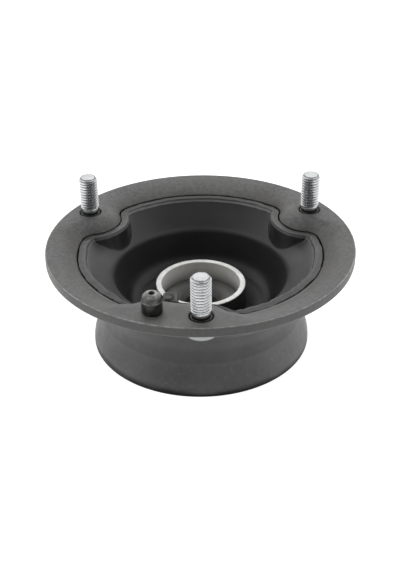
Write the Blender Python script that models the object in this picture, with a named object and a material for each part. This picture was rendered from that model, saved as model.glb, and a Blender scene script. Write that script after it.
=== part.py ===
"""Strut top mount: a stamped plate with studs, a rubber isolator, a flared skirt and a ball bearing.

Lengths are in metres and angles in degrees. +Z is up along the strut's axis. The origin is the centre of
the skirt's bottom rim, and the front stud points along -Y.
"""
import bmesh
import bpy
from math import acos, atan2, cos, degrees, hypot, pi, radians, sin, sqrt

# Fits
CLEARANCE = 0.0003
BALL_CLEARANCE = 0.0003
SHIELD_RUNNING_GAP = 0.0003

# Stamped plate
PLATE_THICKNESS = 0.0042
OPENING_RADIUS = 0.0522
OPENING_DROP = 0.0043
LOBE_RADIUS = 0.0133
LOBE_FILLET = 0.0065
PAD_BEND_WIDTH = 0.0075
RIM_EDGE = 0.0004

# Studs and locating pin
STUD_CIRCLE_RADIUS = 0.0565
STUD_EDGE_DISTANCE = 0.0087
STUD_ANGLES = {"stud_right": 30.0, "stud_left": 150.0, "stud_front": 270.0}
STUD_THREAD_RADIUS = 0.0040
STUD_COLLAR_RADIUS = 0.0036
STUD_SHOULDER_RADIUS = 0.0046
STUD_HEAD_RADIUS = 0.0066
STUD_HEAD_THICKNESS = 0.0028
STUD_REACH = 0.0170
STUD_COLLAR_HEIGHT = 0.0019
STUD_RECESS = 0.0010
STUD_TIP_CHAMFER = 0.00075
PIN_ANGLE = 251.0
PIN_RADIUS = 0.00408
PIN_BODY_HEIGHT = 0.0053
PIN_TIP_HEIGHT = 0.0083
PIN_TIP_RADIUS = 0.0021
PIN_HOLE_RADIUS = 0.0011
PIN_HOLE_DEPTH = 0.0050
PIN_SHANK_RADIUS = 0.0029
PIN_RIVET_RADIUS = 0.0043
PIN_RIVET_THICKNESS = 0.0014

# Rubber cup, measured up from its floor or in from the opening
CUP_DEPTH = 0.0294
BAND_HEIGHT = 0.0027
BAND_LEAN = 0.0011
SLOPE_FOOT_INSET = 0.0025
SLOPE_FOOT_HEIGHT = 0.0134
WALL_FOOT_RADIUS = 0.0324
WALL_FOOT_HEIGHT = 0.0029
FLOOR_EDGE_RADIUS = 0.0288
FLOOR_SKIN = 0.0011
RUBBER_COVER = 0.0029
RUBBER_WALL = 0.0061
RUBBER_FOOT_HEIGHT = 0.0046
RUBBER_GROOVE_DEPTH = 0.0045
NUB_SIZE = (0.0064, 0.0058)
NUB_CENTRE = (-0.0120, -0.0375)
NUB_DROP = 0.0025
NUB_EDGE = 0.0011

# Flared skirt
SKIRT_WALL = 0.0036
SKIRT_FLARE = 0.0040
FLARE_TOP = 0.0170
RIM_BAND = 0.0010
RIM_CHAMFER = 0.0004

# Bearing housing with its sleeve
SLEEVE_RADIUS = 0.0194
SLEEVE_BORE_RADIUS = 0.0170
SLEEVE_HEIGHT = 0.0106
SLEEVE_EDGE = 0.0003
HOUSING_WALL = 0.0037
HOUSING_WEB = 0.0026
HOUSING_FOOT_HEIGHT = 0.0012
HOUSING_LIP = 0.0008
HOUSING_EDGE = 0.0008

# Ball bearing
RACE_HEIGHT = 0.0085
BALL_RADIUS = 0.00238
BALL_COUNT = 14
BALL_CIRCLE_RADIUS = 0.0220
OUTER_RACE_DEPTH = 0.0070
INNER_RACE_DEPTH = 0.0067
RACE_SHOULDER_OFFSET = 0.0015
SHIELD_THICKNESS = 0.0005
SHIELD_OFFSET = 0.0023
SHIELD_INSET = 0.0001
CAGE_THICKNESS = 0.0022
CAGE_HEIGHT = 0.0067

# Hub for the piston rod
ROD_BORE_RADIUS = 0.0071
HUB_SEAT_RADIUS = 0.0092
HUB_RISE = 0.0022
HUB_FOOT = 0.0014
HUB_CHAMFER = 0.0006

# Snap ring under the bearing
RETAINER_THICKNESS = 0.0012
RETAINER_SEAT_DEPTH = 0.0015
RETAINER_WIDTH = 0.0034
RETAINER_GAP_ANGLE = 16.0
RETAINER_EAR_RADIUS = 0.0026
RETAINER_EYE_RADIUS = 0.0011

# Facets
TURN_STEPS = 36
SKIRT_STEPS = 44
STUD_STEPS = 16
BALL_STEPS = 8
ARC_STEPS = 14
FILLET_STEPS = 3
LOBE_STEPS = 3
PIN_LOBE_STEPS = 4
SHARP_ANGLE = radians(32)

# Heights that follow from the sizes above, from the skirt's rim upwards
RETAINER_BOTTOM = HOUSING_FOOT_HEIGHT + HOUSING_LIP + CLEARANCE
RETAINER_TOP = RETAINER_BOTTOM + RETAINER_THICKNESS
RACE_BOTTOM = RETAINER_TOP + CLEARANCE
RACE_TOP = RACE_BOTTOM + RACE_HEIGHT
WEB_BOTTOM = RACE_TOP + CLEARANCE
WEB_TOP = WEB_BOTTOM + HOUSING_WEB
SLEEVE_TOP = WEB_TOP + SLEEVE_HEIGHT
CUP_FLOOR = WEB_TOP + CLEARANCE + FLOOR_SKIN
FLANGE_TOP = CUP_FLOOR + CUP_DEPTH
OPENING_EDGE = FLANGE_TOP - OPENING_DROP
BAND_BOTTOM = OPENING_EDGE - BAND_HEIGHT
SLOPE_FOOT = CUP_FLOOR + SLOPE_FOOT_HEIGHT
BALL_HEIGHT = (RACE_BOTTOM + RACE_TOP) / 2
HUB_TOP = WEB_TOP + HUB_RISE
HUB_BOTTOM = RACE_BOTTOM - HUB_FOOT

# Radii that follow from the sizes above
FLANGE_RADIUS = STUD_CIRCLE_RADIUS + STUD_EDGE_DISTANCE
RACE_OUTER_RADIUS = BALL_CIRCLE_RADIUS + OUTER_RACE_DEPTH
INNER_RACE_BORE_RADIUS = BALL_CIRCLE_RADIUS - INNER_RACE_DEPTH
HOUSING_RADIUS = RACE_OUTER_RADIUS + CLEARANCE + HOUSING_WALL
HUB_FLANGE_RADIUS = SLEEVE_BORE_RADIUS - CLEARANCE
NECK_BORE_RADIUS = HOUSING_RADIUS + RUBBER_WALL + 2 * CLEARANCE
NECK_RADIUS = NECK_BORE_RADIUS + SKIRT_WALL
SKIRT_RIM_RADIUS = NECK_RADIUS + SKIRT_FLARE
SLOPE_FOOT_RADIUS = NECK_BORE_RADIUS - SLOPE_FOOT_INSET
BAND_RADIUS = OPENING_RADIUS - BAND_LEAN
CUP_SLOPE = (BAND_BOTTOM - SLOPE_FOOT) / (BAND_RADIUS - SLOPE_FOOT_RADIUS)
CONE_THICKNESS = PLATE_THICKNESS * sqrt(1 + CUP_SLOPE ** 2)
DISH_WIDTH = FLANGE_RADIUS - OPENING_RADIUS
PLATE_FOOT = SLOPE_FOOT + CUP_SLOPE * (NECK_RADIUS - SLOPE_FOOT_RADIUS) - RUBBER_COVER - CONE_THICKNESS
STUD_HOLE_RADIUS = STUD_SHOULDER_RADIUS + CLEARANCE
PIN_HOLE_IN_PLATE = PIN_SHANK_RADIUS + CLEARANCE
GROOVE_RADIUS = BALL_RADIUS + BALL_CLEARANCE

# Colours as linear red, green and blue, then roughness and metallic
FINISHES = {
    "painted_steel": ((0.115, 0.115, 0.118), 0.55, 0.35),
    "skirt_steel": ((0.085, 0.086, 0.088), 0.60, 0.25),
    "zinc": ((0.62, 0.64, 0.66), 0.32, 1.0),
    "black_pin": ((0.035, 0.034, 0.034), 0.45, 0.20),
    "rubber": ((0.045, 0.045, 0.046), 0.72, 0.0),
    "sleeve_steel": ((0.66, 0.67, 0.66), 0.38, 1.0),
    "bearing_steel": ((0.55, 0.56, 0.58), 0.22, 1.0),
    "cage_plastic": ((0.42, 0.30, 0.14), 0.50, 0.0),
    "shield_rubber": ((0.030, 0.030, 0.032), 0.60, 0.0),
    "spring_steel": ((0.10, 0.10, 0.11), 0.38, 0.90),
}


def clear_scene():
    for item in list(bpy.data.objects):
        bpy.data.objects.remove(item, do_unlink=True)


def material(name):
    made = bpy.data.materials.get(name)
    if made:
        return made
    colour, roughness, metallic = FINISHES[name]
    made = bpy.data.materials.new(name)
    made.use_nodes = True
    shader = made.node_tree.nodes["Principled BSDF"]
    shader.inputs["Base Color"].default_value = (*colour, 1.0)
    shader.inputs["Roughness"].default_value = roughness
    shader.inputs["Metallic"].default_value = metallic
    made.diffuse_color = (*colour, 1.0)
    return made


def add_object(name, bm, finish, location=(0, 0, 0), parent=None):
    bmesh.ops.recalc_face_normals(bm, faces=bm.faces)
    mesh = bpy.data.meshes.new(name)
    bm.to_mesh(mesh)
    bm.free()
    mesh.shade_smooth()
    mesh.set_sharp_from_angle(angle=SHARP_ANGLE)
    mesh.materials.append(material(finish))
    made = bpy.data.objects.new(name, mesh)
    made.location = location
    made.parent = parent
    bpy.context.collection.objects.link(made)
    return made


def add_axis(name, height):
    axis = bpy.data.objects.new(name, None)
    axis.location = (0, 0, height)
    bpy.context.collection.objects.link(axis)
    return axis


def turned(profile, steps, closed=True):
    """Spin a profile of (radius, height) about Z. An open profile starts and ends on the axis."""
    bm = bmesh.new()
    verts = [bm.verts.new((radius, 0, height)) for radius, height in profile]
    pairs = list(zip(verts, verts[1:]))
    if closed:
        pairs.append((verts[-1], verts[0]))
    edges = [bm.edges.new(pair) for pair in pairs]
    bmesh.ops.spin(bm, geom=verts + edges, cent=(0, 0, 0), axis=(0, 0, 1), angle=2 * pi, steps=steps,
                   use_merge=True)
    bmesh.ops.remove_doubles(bm, verts=bm.verts, dist=1e-6)
    return bm


def cut_with(target, cutter, operation="DIFFERENCE"):
    cutter.hide_render = True
    cutter.display_type = "WIRE"
    boolean = target.modifiers.new(cutter.name, "BOOLEAN")
    boolean.operation = operation
    boolean.solver = "EXACT"
    boolean.object = cutter


def cylinder_cutter(name, radius, low, high, place, steps):
    bm = turned([(0, low), (radius, low), (radius, high), (0, high)], steps, closed=False)
    return add_object(name, bm, "painted_steel", location=(place[0], place[1], 0))


def polar(radius, angle):
    return radius * cos(radians(angle)), radius * sin(radians(angle))


def direction(start, end):
    return degrees(atan2(end[1] - start[1], end[0] - start[0]))


# Outline of the dished opening

def lobe_spans():
    """Angles that each lobe's centre runs through. The front lobe also carries the locating pin."""
    spans = [(STUD_ANGLES["stud_right"], STUD_ANGLES["stud_right"])]
    spans.append((STUD_ANGLES["stud_left"], STUD_ANGLES["stud_left"]))
    spans.append((PIN_ANGLE, STUD_ANGLES["stud_front"]))
    return spans


def arc_points(centre, radius, start, end, steps, sign):
    """Points with their normals into the sheet. sign is +1 where the sheet lies outside the arc."""
    points = []
    for step in range(steps):
        angle = start + (end - start) * step / steps
        out_x, out_y = polar(1.0, angle)
        place = (centre[0] + radius * out_x, centre[1] + radius * out_y)
        points.append((place, (sign * out_x, sign * out_y)))
    return points


def turn_to(start, end, sense):
    """The angle equal to end that is reached from start by turning in the given sense."""
    while sense > 0 and end < start:
        end += 360
    while sense > 0 and end >= start + 360:
        end -= 360
    while sense < 0 and end > start:
        end -= 360
    while sense < 0 and end <= start - 360:
        end += 360
    return end


def fillet_swing():
    """Angle at the axis between a lobe's centre and the centre of the fillet beside it."""
    centre_radius = OPENING_RADIUS - LOBE_FILLET
    reach = LOBE_RADIUS + LOBE_FILLET
    sides = STUD_CIRCLE_RADIUS ** 2 + centre_radius ** 2 - reach ** 2
    return degrees(acos(sides / (2 * STUD_CIRCLE_RADIUS * centre_radius)))


def lobe_points(first, last):
    """The outline around one lobe, from its first fillet to its last."""
    swing = fillet_swing()
    fillet_in = polar(OPENING_RADIUS - LOBE_FILLET, first - swing)
    fillet_out = polar(OPENING_RADIUS - LOBE_FILLET, last + swing)
    centre_in = polar(STUD_CIRCLE_RADIUS, first)
    centre_out = polar(STUD_CIRCLE_RADIUS, last)
    meets_in = turn_to(first - swing, direction(fillet_in, centre_in), 1)
    points = arc_points(fillet_in, LOBE_FILLET, first - swing, meets_in, FILLET_STEPS, 1)
    tip_in = turn_to(meets_in + 180, first + 180, -1)
    points += arc_points(centre_in, LOBE_RADIUS, meets_in + 180, tip_in, LOBE_STEPS, -1)
    if last > first:
        tip_radius = STUD_CIRCLE_RADIUS - LOBE_RADIUS
        points += arc_points((0, 0), tip_radius, first, last, PIN_LOBE_STEPS, 1)
    leaves = turn_to(last + 180, direction(centre_out, fillet_out), -1)
    points += arc_points(centre_out, LOBE_RADIUS, last + 180, leaves, LOBE_STEPS, -1)
    ends = turn_to(leaves + 180, last + swing, 1)
    points += arc_points(fillet_out, LOBE_FILLET, leaves + 180, ends, FILLET_STEPS, 1)
    return points


def outline():
    """The opening's edge with its normals, and the angle on the flange's rim that faces each point."""
    spans = lobe_spans()
    swing = fillet_swing()
    points = []
    rim_angles = []
    for index, (first, last) in enumerate(spans):
        lobe = lobe_points(first, last)
        lobe_start = first - swing
        lobe_end = last + swing
        points += lobe
        rim_angles += [lobe_start + (lobe_end - lobe_start) * step / len(lobe) for step in range(len(lobe))]
        following = spans[(index + 1) % len(spans)][0] - swing
        following = turn_to(lobe_end, following, 1)
        points += arc_points((0, 0), OPENING_RADIUS, lobe_end, following, ARC_STEPS, 1)
        rim_angles += [lobe_end + (following - lobe_end) * step / ARC_STEPS for step in range(ARC_STEPS)]
    return points, rim_angles


OUTLINE, RIM_ANGLES = outline()


def offset_ring(distance, height):
    """A ring at a distance from the opening's edge, into the sheet if positive. height may be a function."""
    ring = []
    for (x, y), (normal_x, normal_y) in OUTLINE:
        place = (x + distance * normal_x, y + distance * normal_y)
        ring.append((*place, height(*place) if callable(height) else height))
    return ring


def circle_ring(radius, height, every=1):
    return [(*polar(radius, angle), height) for angle in RIM_ANGLES[::every]]


def between(ring_a, ring_b, share, height):
    """A ring part of the way from one ring to another, at the height that a function gives."""
    ring = []
    for a, b in zip(ring_a, ring_b):
        place = (a[0] + (b[0] - a[0]) * share, a[1] + (b[1] - a[1]) * share)
        ring.append((*place, height(*place)))
    return ring


def bridge(bm, ring_a, ring_b):
    """Faces between two rings. The second has as many points as the first, or half as many."""
    if len(ring_b) > len(ring_a):
        ring_a, ring_b = ring_b, ring_a
    count = len(ring_a)
    if len(ring_b) == count:
        for i in range(count):
            bm.faces.new((ring_a[i], ring_a[(i + 1) % count], ring_b[(i + 1) % count], ring_b[i]))
        return
    for j in range(count // 2):
        near, middle, far = ring_a[2 * j], ring_a[2 * j + 1], ring_a[(2 * j + 2) % count]
        here, following = ring_b[j], ring_b[(j + 1) % (count // 2)]
        bm.faces.new((near, middle, here))
        bm.faces.new((middle, following, here))
        bm.faces.new((middle, far, following))


def lofted(rings):
    """A closed ring-shaped solid through cross-section rings that return to the first."""
    bm = bmesh.new()
    loops = [[bm.verts.new(point) for point in ring] for ring in rings]
    for ring_a, ring_b in zip(loops, loops[1:] + loops[:1]):
        bridge(bm, ring_a, ring_b)
    return bm


# Surfaces of the sheet and of the rubber

def edge_distance(x, y):
    return min(hypot(x - px, y - py) for (px, py), _ in OUTLINE)


def lobe_distance(x, y):
    """Distance from a point to the nearest lobe's centre, or to the arc that a long lobe follows."""
    nearest = FLANGE_RADIUS
    for first, last in lobe_spans():
        angle = turn_to(first - 180, degrees(atan2(y, x)), 1)
        angle = min(max(angle, first), last)
        place = polar(STUD_CIRCLE_RADIUS, angle)
        nearest = min(nearest, hypot(x - place[0], y - place[1]))
    return nearest


def pad_blend(x, y):
    """0 on the flat pads round the studs and the pin, rising to 1 midway between the pads."""
    blend = (lobe_distance(x, y) - LOBE_RADIUS) / (FLANGE_RADIUS - STUD_CIRCLE_RADIUS)
    return min(max(blend, 0.0), 1.0)


def bend_width(x, y):
    return PAD_BEND_WIDTH + (DISH_WIDTH - PAD_BEND_WIDTH) * pad_blend(x, y)


def sheet_top(x, y):
    """Height of the plate's upper face: flat pads round the studs, dished towards the opening between."""
    rise = max(0.0, 1 - edge_distance(x, y) / bend_width(x, y))
    return FLANGE_TOP - OPENING_DROP * rise ** (2 - 0.4 * pad_blend(x, y))


def sheet_under(x, y):
    return sheet_top(x, y) - PLATE_THICKNESS


def slope_height(x, y):
    return SLOPE_FOOT + CUP_SLOPE * (hypot(x, y) - SLOPE_FOOT_RADIUS)


def cone_top(x, y):
    return slope_height(x, y) - RUBBER_COVER


def cone_under(x, y):
    return cone_top(x, y) - CONE_THICKNESS


def rubber_on_cone(x, y):
    return cone_top(x, y) + CLEARANCE


def dish_ring(share, height):
    """A ring part of the way across the bend between the opening's edge and the flat of the plate."""
    ring = []
    for (x, y), (normal_x, normal_y) in OUTLINE:
        distance = share * min(bend_width(x, y), DISH_WIDTH - 2 * RIM_EDGE)
        place = (x + distance * normal_x, y + distance * normal_y)
        ring.append((*place, height(*place)))
    return ring


def make_mounting_plate():
    edge = offset_ring(0, OPENING_EDGE)
    rim_face = circle_ring(FLANGE_RADIUS - RIM_EDGE, FLANGE_TOP)
    dish = [dish_ring(share, sheet_top) for share in (1.0, 0.7, 0.4, 0.15)]
    under = [dish_ring(share, sheet_under) for share in (0.75, 1.0)]
    collar_under = offset_ring(PLATE_THICKNESS, sheet_under)
    collar_foot = offset_ring(PLATE_THICKNESS, cone_under)
    rings = [rim_face] + dish + [edge]
    rings.append(offset_ring(0, cone_top))
    rings.append(circle_ring(NECK_BORE_RADIUS, cone_top(NECK_BORE_RADIUS, 0)))
    rings.append(circle_ring(NECK_BORE_RADIUS, PLATE_FOOT))
    rings.append(circle_ring(NECK_RADIUS, PLATE_FOOT))
    rings += [collar_foot, collar_under] + under
    rings.append(circle_ring(FLANGE_RADIUS - RIM_EDGE, FLANGE_TOP - PLATE_THICKNESS))
    rings.append(circle_ring(FLANGE_RADIUS, FLANGE_TOP - PLATE_THICKNESS + RIM_EDGE))
    rings.append(circle_ring(FLANGE_RADIUS, FLANGE_TOP - RIM_EDGE))
    plate = add_object("mounting_plate", lofted(rings), "painted_steel")
    low = OPENING_EDGE - PLATE_THICKNESS
    high = FLANGE_TOP + PLATE_THICKNESS
    for name, angle in STUD_ANGLES.items():
        place = polar(STUD_CIRCLE_RADIUS, angle)
        cut_with(plate, cylinder_cutter(name + "_hole", STUD_HOLE_RADIUS, low, high, place, STUD_STEPS))
    place = polar(STUD_CIRCLE_RADIUS, PIN_ANGLE)
    cut_with(plate, cylinder_cutter("pin_hole", PIN_HOLE_IN_PLATE, low, high, place, STUD_STEPS))


def make_stud(name, angle):
    head_top = FLANGE_TOP - PLATE_THICKNESS - CLEARANCE
    head_bottom = head_top - STUD_HEAD_THICKNESS
    recess = FLANGE_TOP - STUD_RECESS
    collar_top = FLANGE_TOP + STUD_COLLAR_HEIGHT
    top = FLANGE_TOP + STUD_REACH
    edge = STUD_TIP_CHAMFER
    profile = [
        (0, head_bottom),
        (STUD_HEAD_RADIUS - edge, head_bottom),
        (STUD_HEAD_RADIUS, head_bottom + edge),
        (STUD_HEAD_RADIUS, head_top),
        (STUD_SHOULDER_RADIUS, head_top),
        (STUD_SHOULDER_RADIUS, recess),
        (STUD_COLLAR_RADIUS, recess),
        (STUD_COLLAR_RADIUS, collar_top),
        (STUD_THREAD_RADIUS, collar_top + STUD_THREAD_RADIUS - STUD_COLLAR_RADIUS),
        (STUD_THREAD_RADIUS, top - edge),
        (STUD_THREAD_RADIUS - edge, top),
        (0, top),
    ]
    place = polar(STUD_CIRCLE_RADIUS, angle)
    add_object(name, turned(profile, STUD_STEPS, closed=False), "zinc", location=(*place, 0))


def make_locating_pin():
    seat = FLANGE_TOP + CLEARANCE
    under = FLANGE_TOP - PLATE_THICKNESS - CLEARANCE
    top = FLANGE_TOP + PIN_TIP_HEIGHT
    profile = [
        (0, under - PIN_RIVET_THICKNESS),
        (PIN_RIVET_RADIUS - RIM_EDGE, under - PIN_RIVET_THICKNESS),
        (PIN_RIVET_RADIUS, under - PIN_RIVET_THICKNESS + RIM_EDGE),
        (PIN_RIVET_RADIUS, under),
        (PIN_SHANK_RADIUS, under),
        (PIN_SHANK_RADIUS, seat),
        (PIN_RADIUS, seat),
        (PIN_RADIUS, FLANGE_TOP + PIN_BODY_HEIGHT),
        (PIN_TIP_RADIUS, top),
        (PIN_HOLE_RADIUS, top),
        (PIN_HOLE_RADIUS, top - PIN_HOLE_DEPTH),
        (0, top - PIN_HOLE_DEPTH),
    ]
    place = polar(STUD_CIRCLE_RADIUS, PIN_ANGLE)
    add_object("locating_pin", turned(profile, STUD_STEPS, closed=False), "black_pin", location=(*place, 0))


def make_nub():
    """The small moulded block that stands inside the front lobe's rubber wall, rooted in the slope."""
    bm = bmesh.new()
    bmesh.ops.create_cube(bm, size=1.0)
    for vert in bm.verts:
        above = vert.co.z > 0
        vert.co.x = NUB_CENTRE[0] + NUB_SIZE[0] * vert.co.x
        vert.co.y = NUB_CENTRE[1] + NUB_SIZE[1] * vert.co.y
        root = slope_height(vert.co.x, vert.co.y) - RUBBER_COVER / 2
        vert.co.z = FLANGE_TOP - NUB_DROP if above else root
    upright = [edge for edge in bm.edges if abs(edge.verts[0].co.z - edge.verts[1].co.z) > NUB_SIZE[0]]
    bmesh.ops.bevel(bm, geom=upright, offset=NUB_EDGE, segments=2, profile=0.5, affect="EDGES")
    return add_object("nub_shape", bm, "rubber")


def make_rubber_isolator():
    half = 2
    lip = CLEARANCE
    inner_edge = BAND_LEAN + lip
    housing_bore = HOUSING_RADIUS + CLEARANCE
    sleeve_bore = SLEEVE_RADIUS + CLEARANCE
    bonded_radius = NECK_BORE_RADIUS - CLEARANCE
    groove_radius = (housing_bore + bonded_radius) / 2
    groove_edge = (bonded_radius - housing_bore) / 5
    foot = RUBBER_FOOT_HEIGHT
    wall_foot = offset_ring(-2 * BAND_LEAN, slope_height)
    slope_foot = circle_ring(SLOPE_FOOT_RADIUS, SLOPE_FOOT)
    rings = [
        offset_ring(-lip, OPENING_EDGE - lip),
        offset_ring(-lip, rubber_on_cone),
        circle_ring(bonded_radius, rubber_on_cone(bonded_radius, 0)),
        circle_ring(bonded_radius, foot, half),
        circle_ring(bonded_radius - groove_edge, foot, half),
        circle_ring(groove_radius, foot + RUBBER_GROOVE_DEPTH, half),
        circle_ring(housing_bore + groove_edge, foot, half),
        circle_ring(housing_bore, foot, half),
        circle_ring(housing_bore, WEB_TOP + CLEARANCE, half),
        circle_ring(sleeve_bore, WEB_TOP + CLEARANCE, half),
        circle_ring(sleeve_bore, CUP_FLOOR, half),
        circle_ring(FLOOR_EDGE_RADIUS, CUP_FLOOR, half),
        circle_ring(WALL_FOOT_RADIUS - WALL_FOOT_HEIGHT / 2, CUP_FLOOR + WALL_FOOT_HEIGHT / 3, half),
        circle_ring(WALL_FOOT_RADIUS, CUP_FLOOR + WALL_FOOT_HEIGHT, half),
        circle_ring(SLOPE_FOOT_RADIUS, SLOPE_FOOT, half),
        between(wall_foot, slope_foot, 0.5, slope_height),
        wall_foot,
        offset_ring(-inner_edge, BAND_BOTTOM),
        offset_ring(-lip - BAND_LEAN / 2, OPENING_EDGE),
    ]
    rubber = add_object("rubber_isolator", lofted(rings), "rubber")
    cut_with(rubber, make_nub(), "UNION")


def flare_radius(height):
    """Outer radius of the skirt: a straight neck, an S-shaped flare and a short straight rim."""
    share = (FLARE_TOP - height) / (FLARE_TOP - RIM_BAND)
    share = min(max(share, 0.0), 1.0)
    return NECK_RADIUS + (SKIRT_RIM_RADIUS - NECK_RADIUS) * share * share * (3 - 2 * share)


def make_lower_skirt():
    top = PLATE_FOOT - CLEARANCE
    shares = (1.0, 0.8, 0.6, 0.4, 0.2, 0.0)
    heights = [RIM_BAND + (FLARE_TOP - RIM_BAND) * share for share in shares]
    outer = [(NECK_RADIUS, top)] + [(flare_radius(z), z) for z in heights]
    outer += [(SKIRT_RIM_RADIUS, RIM_CHAMFER), (SKIRT_RIM_RADIUS - RIM_CHAMFER, 0)]
    inner_rim = SKIRT_RIM_RADIUS - SKIRT_WALL
    inner = [(inner_rim + RIM_CHAMFER, 0), (inner_rim, RIM_CHAMFER)]
    inner += [(flare_radius(z) - SKIRT_WALL, z) for z in heights[::-1]]
    inner.append((NECK_BORE_RADIUS, top))
    add_object("lower_skirt", turned(outer + inner, SKIRT_STEPS), "skirt_steel")


def make_bearing_housing():
    bore = RACE_OUTER_RADIUS + CLEARANCE
    groove_top = RACE_BOTTOM
    groove_bottom = HOUSING_FOOT_HEIGHT + HOUSING_LIP
    foot = HOUSING_FOOT_HEIGHT
    profile = [
        (SLEEVE_BORE_RADIUS + SLEEVE_EDGE, SLEEVE_TOP),
        (SLEEVE_RADIUS - SLEEVE_EDGE, SLEEVE_TOP),
        (SLEEVE_RADIUS, SLEEVE_TOP - SLEEVE_EDGE),
        (SLEEVE_RADIUS, WEB_TOP),
        (HOUSING_RADIUS - HOUSING_EDGE, WEB_TOP),
        (HOUSING_RADIUS, WEB_TOP - HOUSING_EDGE),
        (HOUSING_RADIUS, foot + SLEEVE_EDGE),
        (HOUSING_RADIUS - SLEEVE_EDGE, foot),
        (bore + SLEEVE_EDGE, foot),
        (bore, foot + SLEEVE_EDGE),
        (bore, groove_bottom),
        (bore + RETAINER_SEAT_DEPTH, groove_bottom),
        (bore + RETAINER_SEAT_DEPTH, groove_top),
        (bore, groove_top),
        (bore, WEB_BOTTOM),
        (SLEEVE_BORE_RADIUS, WEB_BOTTOM),
        (SLEEVE_BORE_RADIUS, SLEEVE_TOP - SLEEVE_EDGE),
    ]
    add_object("bearing_housing", turned(profile, TURN_STEPS), "sleeve_steel")


def groove_arc(side):
    """Section of the ball groove from top to bottom, on the outer (+1) or the inner (-1) race."""
    half_angle = acos(RACE_SHOULDER_OFFSET / GROOVE_RADIUS)
    arc_steps = 3
    points = []
    for step in range(arc_steps + 1):
        angle = half_angle * (1 - 2 * step / arc_steps)
        radius = BALL_CIRCLE_RADIUS + side * GROOVE_RADIUS * cos(angle)
        points.append((radius, GROOVE_RADIUS * sin(angle)))
    return points


def race_profile(side, back_radius):
    """Half section of a race, about the balls' height: back, shield seats, shoulders and groove."""
    half = RACE_HEIGHT / 2
    seat = BALL_CIRCLE_RADIUS + side * (SHIELD_OFFSET + SHIELD_RUNNING_GAP)
    shoulder = BALL_CIRCLE_RADIUS + side * RACE_SHOULDER_OFFSET
    seat_depth = half - SHIELD_INSET - SHIELD_THICKNESS - CLEARANCE
    profile = [(back_radius, -half), (back_radius, half), (seat, half), (seat, seat_depth)]
    profile.append((shoulder, seat_depth))
    profile += groove_arc(side)
    profile += [(shoulder, -seat_depth), (seat, -seat_depth), (seat, -half)]
    return profile


def make_races(spin_axis):
    outer = turned(race_profile(1, RACE_OUTER_RADIUS), TURN_STEPS)
    add_object("bearing_outer_race", outer, "bearing_steel", location=(0, 0, BALL_HEIGHT))
    inner = turned(race_profile(-1, INNER_RACE_BORE_RADIUS), TURN_STEPS)
    add_object("bearing_inner_race", inner, "bearing_steel", parent=spin_axis)


def make_shields():
    """Thin rings that close the bearing above and below. Their outer edge sits in the outer race."""
    for name, side in (("upper_seal", 1), ("lower_seal", -1)):
        outside = side * (RACE_HEIGHT / 2 - SHIELD_INSET)
        inside = outside - side * SHIELD_THICKNESS
        low, high = min(outside, inside), max(outside, inside)
        inner = BALL_CIRCLE_RADIUS - SHIELD_OFFSET
        outer = BALL_CIRCLE_RADIUS + SHIELD_OFFSET
        profile = [(inner, low), (outer, low), (outer, high), (inner, high)]
        add_object(name, turned(profile, TURN_STEPS), "shield_rubber", location=(0, 0, BALL_HEIGHT))


def make_balls_and_cage(orbit_axis):
    half = CAGE_HEIGHT / 2
    inner = BALL_CIRCLE_RADIUS - CAGE_THICKNESS / 2
    outer = BALL_CIRCLE_RADIUS + CAGE_THICKNESS / 2
    profile = [(inner, -half), (outer, -half), (outer, half), (inner, half)]
    cage = add_object("ball_cage", turned(profile, BALL_COUNT * 2), "cage_plastic", parent=orbit_axis)
    for index in range(BALL_COUNT):
        place = (*polar(BALL_CIRCLE_RADIUS, 360 * index / BALL_COUNT), 0)
        ball = bmesh.new()
        bmesh.ops.create_uvsphere(ball, u_segments=BALL_STEPS, v_segments=6, radius=BALL_RADIUS)
        add_object(f"ball_{index + 1:02d}", ball, "bearing_steel", location=place, parent=orbit_axis)
        pocket = bmesh.new()
        bmesh.ops.create_uvsphere(pocket, u_segments=BALL_STEPS, v_segments=6, radius=GROOVE_RADIUS)
        name = f"pocket_{index + 1:02d}"
        cut_with(cage, add_object(name, pocket, "cage_plastic", location=place, parent=orbit_axis))


def make_rod_hub(spin_axis):
    top = HUB_TOP - BALL_HEIGHT
    seat = RACE_HEIGHT / 2 + CLEARANCE
    foot = HUB_BOTTOM - BALL_HEIGHT
    body_radius = INNER_RACE_BORE_RADIUS - CLEARANCE
    sink = HUB_SEAT_RADIUS - ROD_BORE_RADIUS
    profile = [
        (ROD_BORE_RADIUS, foot + HUB_CHAMFER),
        (ROD_BORE_RADIUS + HUB_CHAMFER, foot),
        (body_radius - HUB_CHAMFER, foot),
        (body_radius, foot + HUB_CHAMFER),
        (body_radius, seat),
        (HUB_FLANGE_RADIUS, seat),
        (HUB_FLANGE_RADIUS, top - HUB_CHAMFER),
        (HUB_FLANGE_RADIUS - HUB_CHAMFER, top),
        (HUB_SEAT_RADIUS, top),
        (ROD_BORE_RADIUS, top - sink),
    ]
    add_object("rod_hub", turned(profile, TURN_STEPS), "zinc", parent=spin_axis)


def ear_points(angle, inner):
    """Half a circle that bulges from the snap ring's inner edge towards the axis."""
    centre = polar(inner, angle)
    steps = 6
    points = []
    for step in range(steps + 1):
        x, y = polar(RETAINER_EAR_RADIUS, angle + 90 + 180 * step / steps)
        points.append((centre[0] + x, centre[1] + y))
    return points


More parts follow.
